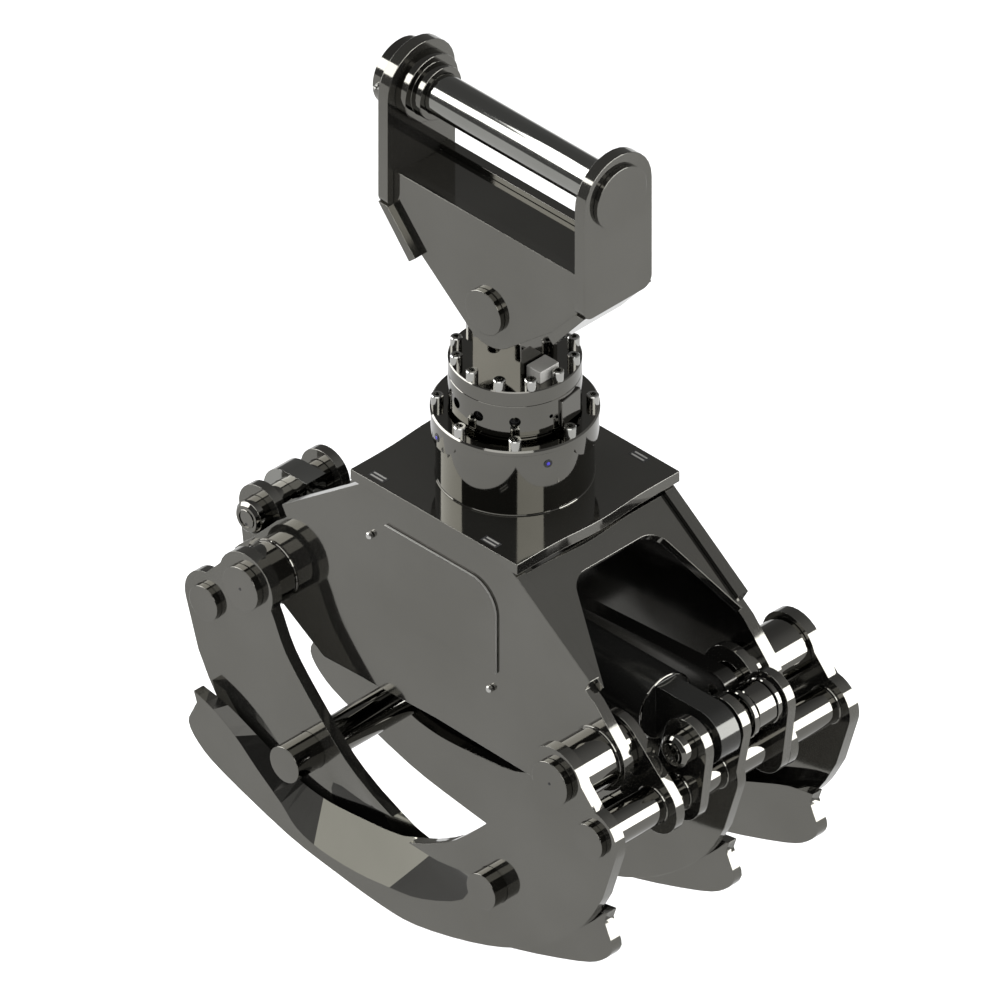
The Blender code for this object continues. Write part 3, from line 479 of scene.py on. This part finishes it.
def turned_mesh(name, profile, steps, ring_shaped=False):
    """Mesh turned about Z from (radius, height) points down the outer side."""
    mesh = bpy.data.meshes.new(name)
    work = bmesh.new()
    verts = [work.verts.new((radius, 0, height)) for radius, height in profile]
    edges = [work.edges.new(pair) for pair in zip(verts, verts[1:])]
    if ring_shaped:
        edges.append(work.edges.new((verts[-1], verts[0])))
    bmesh.ops.spin(work, geom=verts + edges, cent=(0, 0, 0), axis=(0, 0, 1), angle=2 * math.pi,
                   steps=steps, use_merge=True)
    bmesh.ops.remove_doubles(work, verts=work.verts, dist=TURN_MERGE)
    finish_mesh(work, mesh)
    shade(mesh)
    return mesh


def drum(radius, height, rim=RIM, low=0.0):
    """Profile of a round bar with broken rims."""
    return [(0, height), (radius - rim, height), (radius, height - rim),
            (radius, low + rim), (radius - rim, low), (0, low)]


def ring(inner, outer, low, high, rim=RIM):
    """Profile of a round bar with a bore and broken outer rims."""
    return [(inner, high), (outer - rim, high), (outer, high - rim),
            (outer, low + rim), (outer - rim, low), (inner, low)]


def box_mesh(name, size):
    mesh = bpy.data.meshes.new(name)
    work = bmesh.new()
    bmesh.ops.create_cube(work, size=1.0)
    bmesh.ops.scale(work, vec=size, verts=work.verts)
    work.to_mesh(mesh)
    work.free()
    return mesh


def bar_mesh(name, outline, low, high):
    """Flat bar from an (x, z) outline, between two values of y."""
    work = bmesh.new()
    face = work.faces.new([work.verts.new((x, low, z)) for x, z in outline])
    made = bmesh.ops.extrude_face_region(work, geom=[face])
    verts = [each for each in made["geom"] if isinstance(each, bmesh.types.BMVert)]
    bmesh.ops.translate(work, vec=(0, high - low, 0), verts=verts)
    return finish_mesh(work, bpy.data.meshes.new(name))


def place(name, mesh, matrix, body, finish):
    mesh = mesh.copy()
    mesh.transform(matrix)
    return new_piece(name, mesh, body, finish)


def facing(location, direction):
    """Matrix that stands a piece's +Z along the direction at the location."""
    turn = Vector(direction).to_track_quat("Z", "Y").to_matrix().to_4x4()
    return Matrix.Translation(location) @ turn


def polar(radius, degrees, height):
    angle = math.radians(degrees)
    return Vector((radius * math.cos(angle), radius * math.sin(angle), height))


def circle_points(centre, radius, axis, count):
    turn = facing(centre, axis)
    return [turn @ Vector((radius * math.cos(2 * math.pi * step / count),
                           radius * math.sin(2 * math.pi * step / count), 0)) for step in range(count)]


def tube_along(name, points, radius, body, finish, closed=False):
    """Round bead swept along a line of points."""
    curve = bpy.data.curves.new(name, "CURVE")
    curve.dimensions = "3D"
    curve.bevel_depth = radius
    curve.bevel_resolution = 2
    curve.use_fill_caps = not closed
    spline = curve.splines.new("POLY")
    spline.points.add(len(points) - 1)
    for point, spot in zip(spline.points, points):
        point.co = (*spot, 1)
    spline.use_cyclic_u = closed
    holder = bpy.data.objects.new(name, curve)
    bpy.context.scene.collection.objects.link(holder)
    bpy.context.view_layer.update()
    mesh = bpy.data.meshes.new_from_object(holder.evaluated_get(bpy.context.evaluated_depsgraph_get()))
    bpy.data.objects.remove(holder, do_unlink=True)
    shade(mesh)
    return new_piece(name, mesh, body, finish)


# Screws

SCREW_RIM_SHARE = 0.07
SOCKET_SHARE = 0.27
SOCKET_MOUTH_SHARE = 1.12
SOCKET_FLOOR_SHARE = 0.4
SECTOR = math.pi / 3


def socket_screw_mesh(name, head, height):
    """Cap screw head with a broken rim and a sunk hexagon socket."""
    radius = head / 2
    rim = head * SCREW_RIM_SHARE
    socket = head * SOCKET_SHARE
    profile = [(socket * SOCKET_MOUTH_SHARE, height), (radius - rim, height), (radius, height - rim),
               (radius, 0), (0, 0)]
    mesh = turned_mesh(name, profile, CIRCLE_STEPS)
    work = bmesh.new()
    work.from_mesh(mesh)
    mouth = {vert for edge in work.edges if edge.is_boundary for vert in edge.verts}
    around = sorted(mouth, key=lambda vert: math.atan2(vert.co.y, vert.co.x))
    upper = []
    lower = []
    for vert in around:
        angle = math.atan2(vert.co.y, vert.co.x)
        reach = socket * math.cos(SECTOR / 2) / math.cos(angle % SECTOR - SECTOR / 2)
        x, y = reach * math.cos(angle), reach * math.sin(angle)
        upper.append(work.verts.new((x, y, height)))
        lower.append(work.verts.new((x, y, height * SOCKET_FLOOR_SHARE)))
    for index, vert in enumerate(around):
        after = (index + 1) % len(around)
        work.faces.new((vert, around[after], upper[after], upper[index]))
        work.faces.new((upper[index], upper[after], lower[after], lower[index]))
    work.faces.new(lower)
    finish_mesh(work, mesh)
    shade(mesh)
    return mesh


def screw_ring(word, count, circle, head, height, level, body):
    screw = socket_screw_mesh(word + "_mesh", head, height)
    for index in range(count):
        spot = polar(circle, 360 / count * index, level)
        place(f"{word}_{index + 1}", screw, Matrix.Translation(spot), body, "screw")


# Rotator and flange

RUNNING_GAP = 0.001
NECK_HEIGHT = 0.006
BODY_HEIGHT = 0.056
BODY_TOP = FLANGE_HIGH.z + RUNNING_GAP + NECK_HEIGHT + BODY_HEIGHT
BODY_RADIUS = 0.075
NECK_RADIUS = 0.068
SPIGOT_RADIUS = 0.040
SPIGOT_LENGTH = 0.038
GROOVE_DROP = 0.0186
GROOVE_WIDTH = 0.0014
GROOVE_DEPTH = 0.0006
GROOVE_SLOPE = 0.0004

# Ports: angle in degrees and bore
PORTS = ((-105, 0.013), (-78, 0.013), (-45, 0.013), (-12.5, 0.005))
PORT_HEIGHT = 0.020
PORT_DEPTH = 0.010
PORT_SEAT_SHARE = 0.36
PORT_SEAT_HEIGHT = 0.004
PORT_SEAT_GAP = 0.0002

ROTATOR_LUG_REACH = 0.038
ROTATOR_LUG_GAP = 0.0015
ROTATOR_LUG_STEP = 6

PORT_BLOCK_SIZE = (0.012, 0.036, 0.034)
PORT_BLOCK_CIRCLE = 0.0708
PORT_BLOCK_ANGLE = 10
PORT_BLOCK_HEIGHT = 0.0185
STOP_BLOCK_SIZE = (0.022, 0.030, 0.016)
STOP_BLOCK_CIRCLE = 0.051
STOP_BLOCK_ANGLE = -8
STOP_BLOCK_HEIGHT = 0.0078
OIL_HOLE_RADIUS = 0.0030
OIL_HOLE_HEIGHT = 0.0006
OIL_HOLE_CIRCLE = 0.0665
OIL_HOLE_ANGLE = -28

FLANGE_RADIUS = 0.095
FLANGE_THICKNESS = 0.006
FLANGE_RIM = 0.0018
FLANGE_SLOPE = 0.001
FLANGE_DROP = 0.004
FLANGE_TOP = FLANGE_HIGH.z - FLANGE_DROP
NECK_TOP = FLANGE_TOP + RUNNING_GAP + NECK_HEIGHT
BASE_TUBE_RADIUS = 0.0888
BASE_BORE_RADIUS = 0.072
FLANGE_BORE_RADIUS = 0.041
FLANGE_DEPTH = 0.033

LOBES = 8
COLLAR_STEPS = 192
COLLAR_OUTER = 0.0940
COLLAR_INNER = 0.0884
COLLAR_DROP = 0.0065
COLLAR_WIDTH = 0.0090
LOBE_DEPTH = 0.0185
PLUG_ANGLES = (-22, -112, 68, 158)
PLUG_HEIGHT = 0.070
# Word, radius, height, rim, steps around, depth that it is sunk, and finish
PLUG_PIECES = (
    # Painted shade: the bore is a dark disc standing for the hole under the plug.
    ("bore", 0.0052, 0.0018, THINNER_RIM, CIRCLE_STEPS, 0.0012, "hole_shade"),
    ("plug", 0.0022, 0.002, THIN_RIM, HOLE_STEPS, 0.0008, "blue"),
)

BODY_SCREWS = {"count": 12, "circle": 0.0675, "head": 0.014, "height": 0.0125}
FLANGE_SCREWS = {"count": 8, "circle": 0.0865, "head": 0.0145, "height": 0.0125}
SCREW_SINK = 0.0005


def smooth_rotator():
    """Rotator body turned with fine steps; the ports are cut as in the solid."""
    rim = WIDE_RIM
    groove = BODY_RADIUS - GROOVE_DEPTH
    groove_top = BODY_TOP - GROOVE_DROP
    groove_low = groove_top - GROOVE_WIDTH
    spigot_top = FLANGE_TOP + RUNNING_GAP
    spigot_low = FLANGE_HIGH.z - SPIGOT_LENGTH
    profile = [
        (0, BODY_TOP), (BODY_RADIUS - rim, BODY_TOP), (BODY_RADIUS, BODY_TOP - rim),
        (BODY_RADIUS, groove_top), (groove, groove_top - GROOVE_SLOPE),
        (groove, groove_low + GROOVE_SLOPE), (BODY_RADIUS, groove_low),
        (BODY_RADIUS, NECK_TOP + rim), (BODY_RADIUS - rim, NECK_TOP), (NECK_RADIUS, NECK_TOP),
        (NECK_RADIUS, spigot_top), (SPIGOT_RADIUS, spigot_top), (SPIGOT_RADIUS, spigot_low), (0, spigot_low),
    ]
    mesh = turned_mesh("rotator_turned", profile, TURNED_STEPS)
    body = new_piece("rotator_turned", mesh, "rotator", "machined")
    for index, (angle, bore) in enumerate(PORTS):
        mouth = facing(polar(BODY_RADIUS - PORT_DEPTH, angle, NECK_TOP + PORT_HEIGHT), polar(1, angle, 0))
        cutter_mesh = turned_mesh("bore", drum(bore / 2, 2 * PORT_DEPTH, FINE_RIM), CIRCLE_STEPS)
        cutter = bpy.data.objects.new("bore", cutter_mesh)
        bpy.context.scene.collection.objects.link(cutter)
        cutter.matrix_world = mouth
        bpy.context.view_layer.update()
        cut = body.modifiers.new("bore", "BOOLEAN")
        cut.operation = "DIFFERENCE"
        cut.solver = "EXACT"
        cut.object = cutter
        apply_modifiers(body)
        bpy.data.objects.remove(cutter, do_unlink=True)
        # Painted shade: a dark ring in each port's bore stands for the shade inside it.
        seat = ring(bore * PORT_SEAT_SHARE, bore / 2 - PORT_SEAT_GAP, 0.0, PORT_SEAT_HEIGHT, PORT_SEAT_GAP)
        throat = turned_mesh("throat", seat, CIRCLE_STEPS, True)
        place(f"port_seat_{index + 1}", throat, mouth, "rotator", "hole_shade")
    shade(body.data)
    paint(body, "machined")
    return body


def rotator_lug():
    """Upright lug with a round top, between the link plates."""
    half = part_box("hanger_plate_rear")[0].y - ROTATOR_LUG_GAP
    reach = ROTATOR_LUG_REACH
    low = BODY_TOP - RUNNING_GAP
    outline = [(-reach, low), (reach, low)]
    for degrees in range(0, 180 + ROTATOR_LUG_STEP, ROTATOR_LUG_STEP):
        angle = math.radians(degrees)
        outline.append((reach * math.cos(angle), SWING_PIN.z + reach * math.sin(angle)))
    mesh = bar_mesh("rotator_lug", outline, -half, half)
    lug = new_piece("rotator_lug", mesh, "rotator", "machined")
    break_edges(lug, BOSS_RIM)


def rotator_fittings():
    """Port block on the body's side, stop block and oil hole on its top; the oil hole is a dark disc of
    painted shade.
    """
    block = box_mesh("port_block", PORT_BLOCK_SIZE)
    spot = polar(PORT_BLOCK_CIRCLE, PORT_BLOCK_ANGLE, NECK_TOP + PORT_BLOCK_HEIGHT)
    turn = Matrix.Rotation(math.radians(PORT_BLOCK_ANGLE), 4, "Z")
    port = place("port_block", block, Matrix.Translation(spot) @ turn, "rotator", "machined")
    break_edges(port, BLOCK_EDGE_BREAK)
    block = box_mesh("stop_block", STOP_BLOCK_SIZE)
    spot = polar(STOP_BLOCK_CIRCLE, STOP_BLOCK_ANGLE, BODY_TOP + STOP_BLOCK_HEIGHT)
    stop = place("stop_block", block, Matrix.Translation(spot), "rotator", "weld")
    break_edges(stop, BLOCK_EDGE_BREAK)
    hole = turned_mesh("oil_hole", drum(OIL_HOLE_RADIUS, OIL_HOLE_HEIGHT, FINE_RIM), HOLE_STEPS)
    spot = polar(OIL_HOLE_CIRCLE, OIL_HOLE_ANGLE, BODY_TOP - DOT_SINK)
    place("oil_hole", hole, Matrix.Translation(spot), "rotator", "hole_shade")


def smooth_flange():
    """Flange, collar and base tube turned with fine steps."""
    top = FLANGE_TOP
    low = FLANGE_LOW.z
    slope = FLANGE_SLOPE
    profile = [
        (FLANGE_BORE_RADIUS, top), (FLANGE_RADIUS - FLANGE_RIM, top), (FLANGE_RADIUS, top - FLANGE_RIM),
        (FLANGE_RADIUS, top - FLANGE_THICKNESS), (FLANGE_RADIUS - slope, top - FLANGE_THICKNESS - slope),
        (BASE_TUBE_RADIUS, top - FLANGE_THICKNESS - 3 * slope), (BASE_TUBE_RADIUS, low),
        (BASE_BORE_RADIUS, low), (BASE_BORE_RADIUS, top - FLANGE_DEPTH),
        (FLANGE_BORE_RADIUS, top - FLANGE_DEPTH),
    ]
    mesh = turned_mesh("flange_turned", profile, TURNED_STEPS, True)
    return new_piece("flange_turned", mesh, "housing", "machined")


def scalloped_collar():
    """Skirt under the flange whose lower edge hangs in lobes between the screws."""
    top = FLANGE_TOP - COLLAR_DROP
    work = bmesh.new()
    loops = []
    for radius, upper in ((COLLAR_OUTER, True), (COLLAR_OUTER, False), (COLLAR_INNER, False),
                          (COLLAR_INNER, True)):
        loop = []
        for index in range(COLLAR_STEPS):
            share = (index * LOBES / COLLAR_STEPS) % 1.0
            drop = COLLAR_WIDTH + LOBE_DEPTH * math.sqrt(max(0.0, 1 - (2 * share - 1) ** 2))
            level = top if upper else top - drop
            loop.append(work.verts.new(polar(radius, 360 * index / COLLAR_STEPS, level)))
        loops.append(loop)
    for first, second in zip(loops, loops[1:] + loops[:1]):
        for index in range(COLLAR_STEPS):
            after = (index + 1) % COLLAR_STEPS
            work.faces.new((first[index], first[after], second[after], second[index]))
    mesh = finish_mesh(work, bpy.data.meshes.new("scalloped_collar"))
    shade(mesh)
    new_piece("scalloped_collar", mesh, "housing", "machined")
    for word, radius, height, rim, steps, sink, finish in PLUG_PIECES:
        piece = turned_mesh("collar_" + word, drum(radius, height, rim), steps)
        for index, angle in enumerate(PLUG_ANGLES):
            spot = polar(COLLAR_OUTER - sink, angle, DECK + PLUG_HEIGHT)
            turn = facing(spot, polar(1, angle, 0))
            place(f"collar_{word}_{index + 1}", piece, turn, "housing", finish)


def screws():
    screw_ring("body_screw", level=BODY_TOP - SCREW_SINK, body="rotator", **BODY_SCREWS)
    screw_ring("flange_screw", level=FLANGE_TOP, body="housing", **FLANGE_SCREWS)


# Hanger

HUB_BORE = 0.0255
HUB_RADIUS = 0.042
HUB_GAP = 0.0003
HUB_LENGTH = 0.021
COVER_RADIUS = 0.0335
COVER_HEIGHT = 0.0035
COVER_PLACE = 0.0205
NIPPLE_PLACE = (0.008, -0.0415, 0.006)
# (radius, height) points from the nipple's tip down
NIPPLE_PROFILE = [(0, 0.0105), (0.0016, 0.0105), (0.0022, 0.0095), (0.0022, 0.0080), (0.0014, 0.0072),
                  (0.0014, 0.0055), (0.0036, 0.0050), (0.0036, 0.0), (0, 0.0)]
EAR_THICKNESS = 0.015
EAR_BEAD_RADIUS = 0.0012
EAR_BEAD_SIDE = 0.0302
EAR_BEAD_ENDS = (-0.1065, -0.1075)


def hanger_fittings():
    """Outer hub on the left ear, its grease nipple, and beads inside the ears."""
    shape = ring(HUB_BORE, HUB_RADIUS, HUB_GAP, HUB_LENGTH, WIDE_RIM)
    hub = turned_mesh("left_hub", shape, HUB_STEPS, True)
    place("hanger_left_hub", hub, facing((-EAR_FACE, 0, 0), (-1, 0, 0)), "hanger", "machined")
    disc = turned_mesh("left_hub_cover", drum(COVER_RADIUS, COVER_HEIGHT, BOSS_RIM), HUB_STEPS)
    turn = facing((-EAR_FACE - COVER_PLACE, 0, 0), (-1, 0, 0))
    place("hanger_left_cover", disc, turn, "hanger", "machined")
    out, y, z = NIPPLE_PLACE
    nipple = turned_mesh("hanger_nipple", NIPPLE_PROFILE, DOT_STEPS)
    place("hanger_nipple", nipple, facing((-EAR_FACE - out, y, z), (0, -1, 0)), "hanger", "screw")
    for side in (-1, 1):
        x = side * (EAR_FACE - EAR_THICKNESS - EAR_BEAD_RADIUS)
        for level in (-1, 1):
            points = [(x, level * EAR_BEAD_SIDE, z) for z in EAR_BEAD_ENDS]
            tube_along(f"ear_bead_{side}_{level}", points, EAR_BEAD_RADIUS, "hanger", "weld")


# Housing

PEG_RADIUS = 0.0042
PEG_HEIGHT = 0.0055
PEG_PLACES = ((-0.101, DECK - 0.076), (0.0875, DECK - 0.1905))
SLOT_SIZE = (0.024, 0.0105, 0.0004)
TAB_SIZE = (0.019, 0.0022, 0.0008)
TAB_SHIFT = 0.0027
SLOT_PLACES = {"left": -0.098, "right": 0.079}
SLOT_SIDES = {"front": -0.1165, "rear": 0.1165}
TAB_SIDES = {"near": -TAB_SHIFT, "far": TAB_SHIFT}


def cover_pegs():
    """Small pegs at two corners of each cover."""
    peg = turned_mesh("cover_peg", drum(PEG_RADIUS, PEG_HEIGHT, BOSS_RIM), CIRCLE_STEPS)
    face = SIDE_FACE + COVER_GAP
    for index, (x, z) in enumerate(PEG_PLACES):
        place(f"cover_peg_front_{index + 1}", peg, facing((x, -face, z), (0, -1, 0)), "housing", "screw")
        place(f"cover_peg_rear_{index + 1}", peg, facing((-x, face, z), (0, 1, 0)), "housing", "screw")


def deck_tabs():
    """Ends of the side plates' tabs, seen in slots of the top plate; the slots are dark boxes of painted
    shade.
    """
    slot = box_mesh("slot", SLOT_SIZE)
    tab = box_mesh("tab", TAB_SIZE)
    for side, x in SLOT_PLACES.items():
        for end, y in SLOT_SIDES.items():
            place(f"deck_slot_{side}_{end}", slot, Matrix.Translation((x, y, DECK)), "housing", "hole_shade")
            for word, shift in TAB_SIDES.items():
                spot = Matrix.Translation((x, y + shift, DECK))
                place(f"deck_tab_{side}_{end}_{word}", tab, spot, "housing", "weld")


# Jaws

GREASE_RADIUS = 0.0019
GREASE_HEIGHT = 0.0004
GREASE_DROP = 0.007
LIP_INNER = 0.0105
LIP_OUTER = 0.0120
LIP_SINK = 0.001
LIP_HEIGHT = 0.0012
LIP_STEPS = 40

# Rear lever bearing: outer radius, and both ends counted from the cylinder pin's end
LEVER_GAP = 0.0005
LEVER_PLATE = 0.0125
LEVER_RINGS = (
    ("rear_lever_ring", 0.0300, 0.0025, 0.0095),
    ("rear_lever_hub", 0.0265, 0.0130, 0.0400),
    ("rear_lever_washer", 0.0280, 0.0410, 0.0478),
)
LEVER_SHAFT_RADIUS = 0.0200
LEVER_SINK = 0.001
STRAP_PIN_RADIUS = 0.033
STRAP_TUBE_RADIUS = 0.037
STRAP_STEPS = 24


def pin_details():
    """Grease holes in the jaw pins and the cylinder pins' sunk ends; the holes are dark dots of painted
    shade.
    """
    dot = turned_mesh("grease_hole", drum(GREASE_RADIUS, GREASE_HEIGHT, FINE_RIM), DOT_STEPS)
    shape = ring(LIP_INNER, LIP_OUTER, -LIP_SINK, LIP_HEIGHT, THIN_RIM)
    lip = turned_mesh("pin_lip", shape, LIP_STEPS, True)
    for word in ("left", "right"):
        jaw = f"{word}_jaw"
        for end, way in (("front", -1), ("rear", 1)):
            node = f"{word}_jaw_pin_{end}"
            low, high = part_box(node)
            y = low.y if way < 0 else high.y
            middle = centre_of(node)
            turn = facing((middle.x, y - way * DOT_SINK, middle.z), (0, way, 0))
            place(f"{node}_hole", dot, turn, jaw, "hole_shade")
        node = f"{word}_cylinder_pin"
        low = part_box(node)[0]
        middle = centre_of(node)
        place(f"{node}_lip", lip, facing((middle.x, low.y, middle.z), (0, -1, 0)), jaw, "pin")
        turn = facing((middle.x, low.y + 2 * DOT_SINK, middle.z - GREASE_DROP), (0, -1, 0))
        place(f"{node}_hole", dot, turn, jaw, "hole_shade")


def strap(name, first, second, first_radius, second_radius, low, high, body, finish):
    """Flat bar that wraps two bosses, in the XZ plane."""
    along = Vector((second.x - first.x, second.z - first.z))
    heading = math.atan2(along.y, along.x)
    lean = math.acos((first_radius - second_radius) / along.length)
    points = []
    for centre, radius, start, end in ((first, first_radius, heading + lean, heading + 2 * math.pi - lean),
                                       (second, second_radius, heading - lean, heading + lean)):
        for step in range(STRAP_STEPS + 1):
            angle = start + (end - start) * step / STRAP_STEPS
            points.append((centre.x + radius * math.cos(angle), centre.z + radius * math.sin(angle)))
    break_edges(new_piece(name, bar_mesh(name, points, low, high), body, finish))


def rear_lever():
    """Bearing on the far end of the right cylinder pin, strapped to the cross tube."""
    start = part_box("right_cylinder_pin")[1].y
    end = FORK_FACE - LEVER_GAP
    turn = facing((LEVER_PIN.x, start - LEVER_SINK, LEVER_PIN.z), (0, 1, 0))
    shaft = ("rear_lever_shaft", LEVER_SHAFT_RADIUS, 0.0, end - start - LEVER_PLATE - LEVER_GAP)
    for name, outer, low, high in (shaft, *LEVER_RINGS):
        place(name, turned_mesh(name, drum(outer, high, BOSS_RIM, low), BOSS_STEPS), turn, "right_jaw", "pin")
    strap("rear_lever_plate", LEVER_PIN, RIGHT_TUBE, STRAP_PIN_RADIUS, STRAP_TUBE_RADIUS,
          end - LEVER_PLATE, end, "right_jaw", "plate")


# Weld beads

BEAD_RADIUS = 0.0014
BEAD_GAP = 0.0010
HUB_BEAD_CIRCLE = 0.0363
TUBE_BEAD_CIRCLE = 0.0226
BASE_BEAD_CIRCLE = 0.0891
BASE_BEAD_RADIUS = 0.0009
BASE_BEAD_HEIGHT = 0.0006
BARREL_BEAD_CIRCLE = 0.0392
BARREL_BEAD_RADIUS = 0.0013
BARREL_EYE_RADIUS = 0.034
BARREL_EYE_TO_BASE = 0.070
CYLINDER_Y = -0.020
TUBE_PLATES = ("tine_front", "tine_rear", "tine_centre",
               "fork_plate_front", "fork_plate_rear", "clevis_plate")
# Steps around each kind of bead
TUBE_BEAD_STEPS = 40
HUB_BEAD_STEPS = 56
BARREL_BEAD_STEPS = 64
BASE_BEAD_STEPS = 72


def housing_beads():
    spot = (0, 0, DECK + BASE_BEAD_HEIGHT)
    points = circle_points(spot, BASE_BEAD_CIRCLE, (0, 0, 1), BASE_BEAD_STEPS)
    tube_along("base_tube_bead", points, BASE_BEAD_RADIUS, "housing", "pin", True)
    for word in ("left", "right"):
        for end, way in (("front", -1), ("rear", 1)):
            node = f"pivot_hub_{word}_{end}"
            hub = centre_of(node)
            spot = (hub.x, way * (SIDE_FACE + BEAD_GAP), hub.z)
            points = circle_points(spot, HUB_BEAD_CIRCLE, (0, 1, 0), HUB_BEAD_STEPS)
            tube_along(f"{node}_bead", points, BEAD_RADIUS, "housing", "pin", True)


def barrel_bead():
    low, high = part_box("cylinder_barrel")
    spot = (high.x - BARREL_EYE_RADIUS - BARREL_EYE_TO_BASE, CYLINDER_Y, (low.z + high.z) / 2)
    points = circle_points(spot, BARREL_BEAD_CIRCLE, (1, 0, 0), BARREL_BEAD_STEPS)
    tube_along("barrel_base_bead", points, BARREL_BEAD_RADIUS, "barrel", "pin", True)


def jaw_beads(word):
    """Beads around the cross tube on each plate, but not on the outer tines' outer faces."""
    tube = centre_of(f"{word}_cross_tube")
    for part in TUBE_PLATES:
        low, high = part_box(f"{word}_{part}")
        for side, y, way in (("low", low.y, -1), ("high", high.y, 1)):
            if (part, side) not in (("tine_front", "low"), ("tine_rear", "high")):
                spot = (tube.x, y + way * BEAD_GAP, tube.z)
                points = circle_points(spot, TUBE_BEAD_CIRCLE, (0, 1, 0), TUBE_BEAD_STEPS)
                tube_along(f"{word}_{part}_bead_{side}", points, BEAD_RADIUS, f"{word}_jaw", "pin", True)


# Room, lamps and camera


def floor():
    """White floor that keeps the shadow and that metal and glass see as white."""
    low = CAD_BOX[0][2] - FLOOR_GAP
    bpy.ops.mesh.primitive_plane_add(size=FLOOR_SIZE, location=(0, 0, low))
    plane = bpy.context.object
    plane.name = "floor"
    new, tree, shader = material("floor_paper")
    shader.inputs["Base Color"].default_value = (FLOOR_GREY, FLOOR_GREY, FLOOR_GREY, 1)
    shader.inputs["Roughness"].default_value = FLOOR_ROUGHNESS
    shader.inputs["Specular IOR Level"].default_value = 0.0
    glow = tree.nodes.new("ShaderNodeEmission")
    path = tree.nodes.new("ShaderNodeLightPath")
    either = tree.nodes.new("ShaderNodeMath")
    either.operation = "MAXIMUM"
    mix = tree.nodes.new("ShaderNodeMixShader")
    output = tree.nodes["Material Output"]
    tree.links.new(path.outputs["Is Glossy Ray"], either.inputs[0])
    tree.links.new(path.outputs["Is Transmission Ray"], either.inputs[1])
    tree.links.new(either.outputs["Value"], mix.inputs["Fac"])
    tree.links.new(shader.outputs["BSDF"], mix.inputs[1])
    tree.links.new(glow.outputs["Emission"], mix.inputs[2])
    tree.links.new(mix.outputs["Shader"], output.inputs["Surface"])
    plane.data.materials.append(new)


def new_light(name, kind):
    data = bpy.data.lights.new(name, kind)
    obj = bpy.data.objects.new(name, data)
    bpy.context.scene.collection.objects.link(obj)
    return obj, data


def lamp(name, azimuth, elevation, width, height, radiance):
    """Softbox that faces the grapple; azimuth and elevation in degrees."""
    obj, data = new_light(name, "AREA")
    data.shape = "RECTANGLE"
    data.size = width
    data.size_y = height
    data.energy = radiance * math.pi * width * height
    flat = math.cos(math.radians(elevation))
    away = polar(flat, azimuth, math.sin(math.radians(elevation)))
    obj.location = LAMP_AIM + away * LAMP_DISTANCE
    obj.rotation_euler = away.to_track_quat("Z", "Y").to_euler()


def sun():
    obj, data = new_light("sun", "SUN")
    data.energy = SUN_STRENGTH
    data.angle = SUN_SPREAD
    obj.rotation_euler = Vector(SUN_SIDE).to_track_quat("Z", "Y").to_euler()


def world():
    """Grey surround that grows lighter towards the photo's right."""
    new = bpy.data.worlds.new("studio")
    bpy.context.scene.world = new
    new.use_nodes = True
    tree = new.node_tree
    background = tree.nodes["Background"]
    place_node = tree.nodes.new("ShaderNodeTexCoord")
    side = tree.nodes.new("ShaderNodeVectorMath")
    side.operation = "DOT_PRODUCT"
    side.inputs[1].default_value = WORLD_SIDE
    tree.links.new(place_node.outputs["Generated"], side.inputs[0])
    shades = ramp(tree, side.outputs["Value"], WORLD_SHADES)
    tree.links.new(shades, background.inputs["Color"])
    background.inputs["Strength"].default_value = 1.0


def camera():
    data = bpy.data.cameras.new("camera")
    data.type = "ORTHO"
    data.ortho_scale = PHOTO_SIZE / PIXELS_PER_METRE
    data.clip_end = CAMERA_REACH
    obj = bpy.data.objects.new("camera", data)
    bpy.context.scene.collection.objects.link(obj)
    right = Vector((1, 1, 0)).normalized()
    up = CAMERA_SIDE.cross(right)
    half = PHOTO_SIZE / 2
    centre = Vector((0, 0, DECK))
    centre -= right * (AXIS_PIXEL - half) / PIXELS_PER_METRE
    centre -= up * (half - DECK_PIXEL) / PIXELS_PER_METRE
    obj.location = centre + CAMERA_SIDE * CAMERA_DISTANCE
    obj.rotation_euler = CAMERA_SIDE.to_track_quat("Z", "Y").to_euler()
    bpy.context.scene.camera = obj


bpy.context.scene.view_settings.view_transform = "Standard"
dress_all()
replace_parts(smooth_rotator(), "rotator_body")
rotator_lug()
rotator_fittings()
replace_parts(smooth_flange(), "rotor_flange")
scalloped_collar()
screws()
hanger_fittings()
cover_pegs()
deck_tabs()
pin_details()
rear_lever()
housing_beads()
barrel_bead()
jaw_beads("left")
jaw_beads("right")
floor()
world()
sun()
for lamp_name, values in LAMPS.items():
    lamp(lamp_name, *values)
camera()
